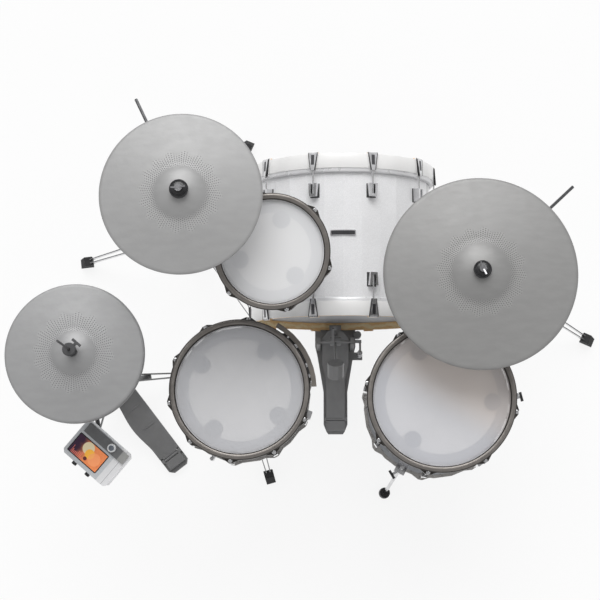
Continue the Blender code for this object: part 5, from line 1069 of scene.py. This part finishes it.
# Dial: a white ring round a dished dark cap
dial_place = MODULE_PLACE @ Matrix.Translation(DIAL_AT)
ring_white = plain_finish("dial ring", (0.80, 0.81, 0.82), 0.3)
ring_outline = [
    (0.0074, 0.0004), (0.01115, 0.0004), (0.01115, 0.0080), (0.0104, 0.0104),
    (0.0096, 0.0110), (0.0082, 0.0108), (0.0074, 0.0100),
]
build("dial_ring", turned_ring(ring_outline, 64, dial_place), ring_white, "dial", smooth=40)
cap_grey = plain_finish("dial cap", (0.16, 0.18, 0.21), 0.25, metal=0.5)
cap_outline = [(0, 0.004), (0.0073, 0.004), (0.0073, 0.0102), (0.0060, 0.0107), (0.0030, 0.0103), (0, 0.0101)]
build("dial_cap", lathed(cap_outline, 48, dial_place), cap_grey, "dial", smooth=40)
plain_finish("module arm", (0.035, 0.035, 0.037), 0.5).on(nodes["module_arm"])
plain_finish("dial skirt", (0.30, 0.31, 0.33), 0.4).on(nodes["module_dial"])


# Stage, light and camera

scene = bpy.context.scene
floor = bmesh.new()
bmesh.ops.create_grid(floor, x_segments=1, y_segments=1, size=14)
floor_data = bpy.data.meshes.new("floor")
floor.to_mesh(floor_data)
floor.free()
floor_object = bpy.data.objects.new("floor", floor_data)
floor_object.location.z = -0.0005
scene.collection.objects.link(floor_object)
pale = Finish("floor")
pale.layers([(None, pale.vary((0.86, 0.86, 0.86), 0.01, 3), 0.0, 0.9)])
glow = pale.node("ShaderNodeEmission")
rays = pale.node("ShaderNodeLightPath").outputs
mirrored = pale.math("MAXIMUM", rays["Is Glossy Ray"], rays["Is Transmission Ray"])
seen = pale.math("MAXIMUM", rays["Is Camera Ray"], mirrored)
blended = pale.node("ShaderNodeMixShader")
pale.join(pale.times(seen, 0.86), blended.inputs[0])
pale.join(pale.shader.outputs[0], blended.inputs[1])
pale.join(glow.outputs[0], blended.inputs[2])
pale.join(blended.outputs[0], pale.out.inputs[0])
floor_object.data.materials.append(pale.material)

# Sky: dim near the horizon and straight above, bright between, with a plain backdrop for the camera
world = bpy.data.worlds.new("studio")
scene.world = world
world.use_nodes = True
tree = world.node_tree
tree.nodes.clear()
link = tree.links.new
direction = tree.nodes.new("ShaderNodeTexCoord")
parts = tree.nodes.new("ShaderNodeSeparateXYZ")
shades = tree.nodes.new("ShaderNodeValToRGB")
sky = tree.nodes.new("ShaderNodeBackground")
backdrop = tree.nodes.new("ShaderNodeBackground")
ray = tree.nodes.new("ShaderNodeLightPath")
choose = tree.nodes.new("ShaderNodeMixShader")
world_out = tree.nodes.new("ShaderNodeOutputWorld")
link(direction.outputs["Generated"], parts.inputs[0])
link(parts.outputs["Z"], shades.inputs[0])
link(shades.outputs[0], sky.inputs[0])
link(ray.outputs["Is Camera Ray"], choose.inputs[0])
link(sky.outputs[0], choose.inputs[1])
link(backdrop.outputs[0], choose.inputs[2])
link(choose.outputs[0], world_out.inputs[0])
stops = shades.color_ramp.elements
stops[0].position = 0.0
stops[0].color = (0.30, 0.30, 0.31, 1)
stops[1].position = 0.55
stops[1].color = (0.92, 0.92, 0.93, 1)
for position, level in ((0.12, 0.20), (0.28, 0.62), (0.90, 0.92), (0.985, 0.50)):
    stop = stops.new(position)
    stop.color = (level, level, level, 1)
sky.inputs[1].default_value = 0.745
backdrop.inputs[0].default_value = (0.97, 0.97, 0.97, 1)

sun = bpy.data.lights.new("key", "SUN")
sun.energy = 1.88
sun.angle = math.radians(48)
sun_object = bpy.data.objects.new("key", sun)
sun_object.rotation_euler = (math.radians(-43), math.radians(-3), 0)
scene.collection.objects.link(sun_object)

camera = bpy.data.cameras.new("camera")
camera.sensor_fit = "HORIZONTAL"
camera.sensor_width = SENSOR_WIDTH
camera.lens = PHOTO_FOCAL / PHOTO_WIDTH * SENSOR_WIDTH
camera.clip_end = 100
camera_object = bpy.data.objects.new("camera", camera)
scene.collection.objects.link(camera_object)
looking = Matrix(((0.9998, 0.003, 0.0191), (0.0, 0.988, -0.1546), (-0.0193, 0.1545, 0.9878))).to_4x4()
looking.translation = CAMERA_AT
camera_object.matrix_world = looking
scene.camera = camera_object
scene.view_settings.view_transform = "Standard"
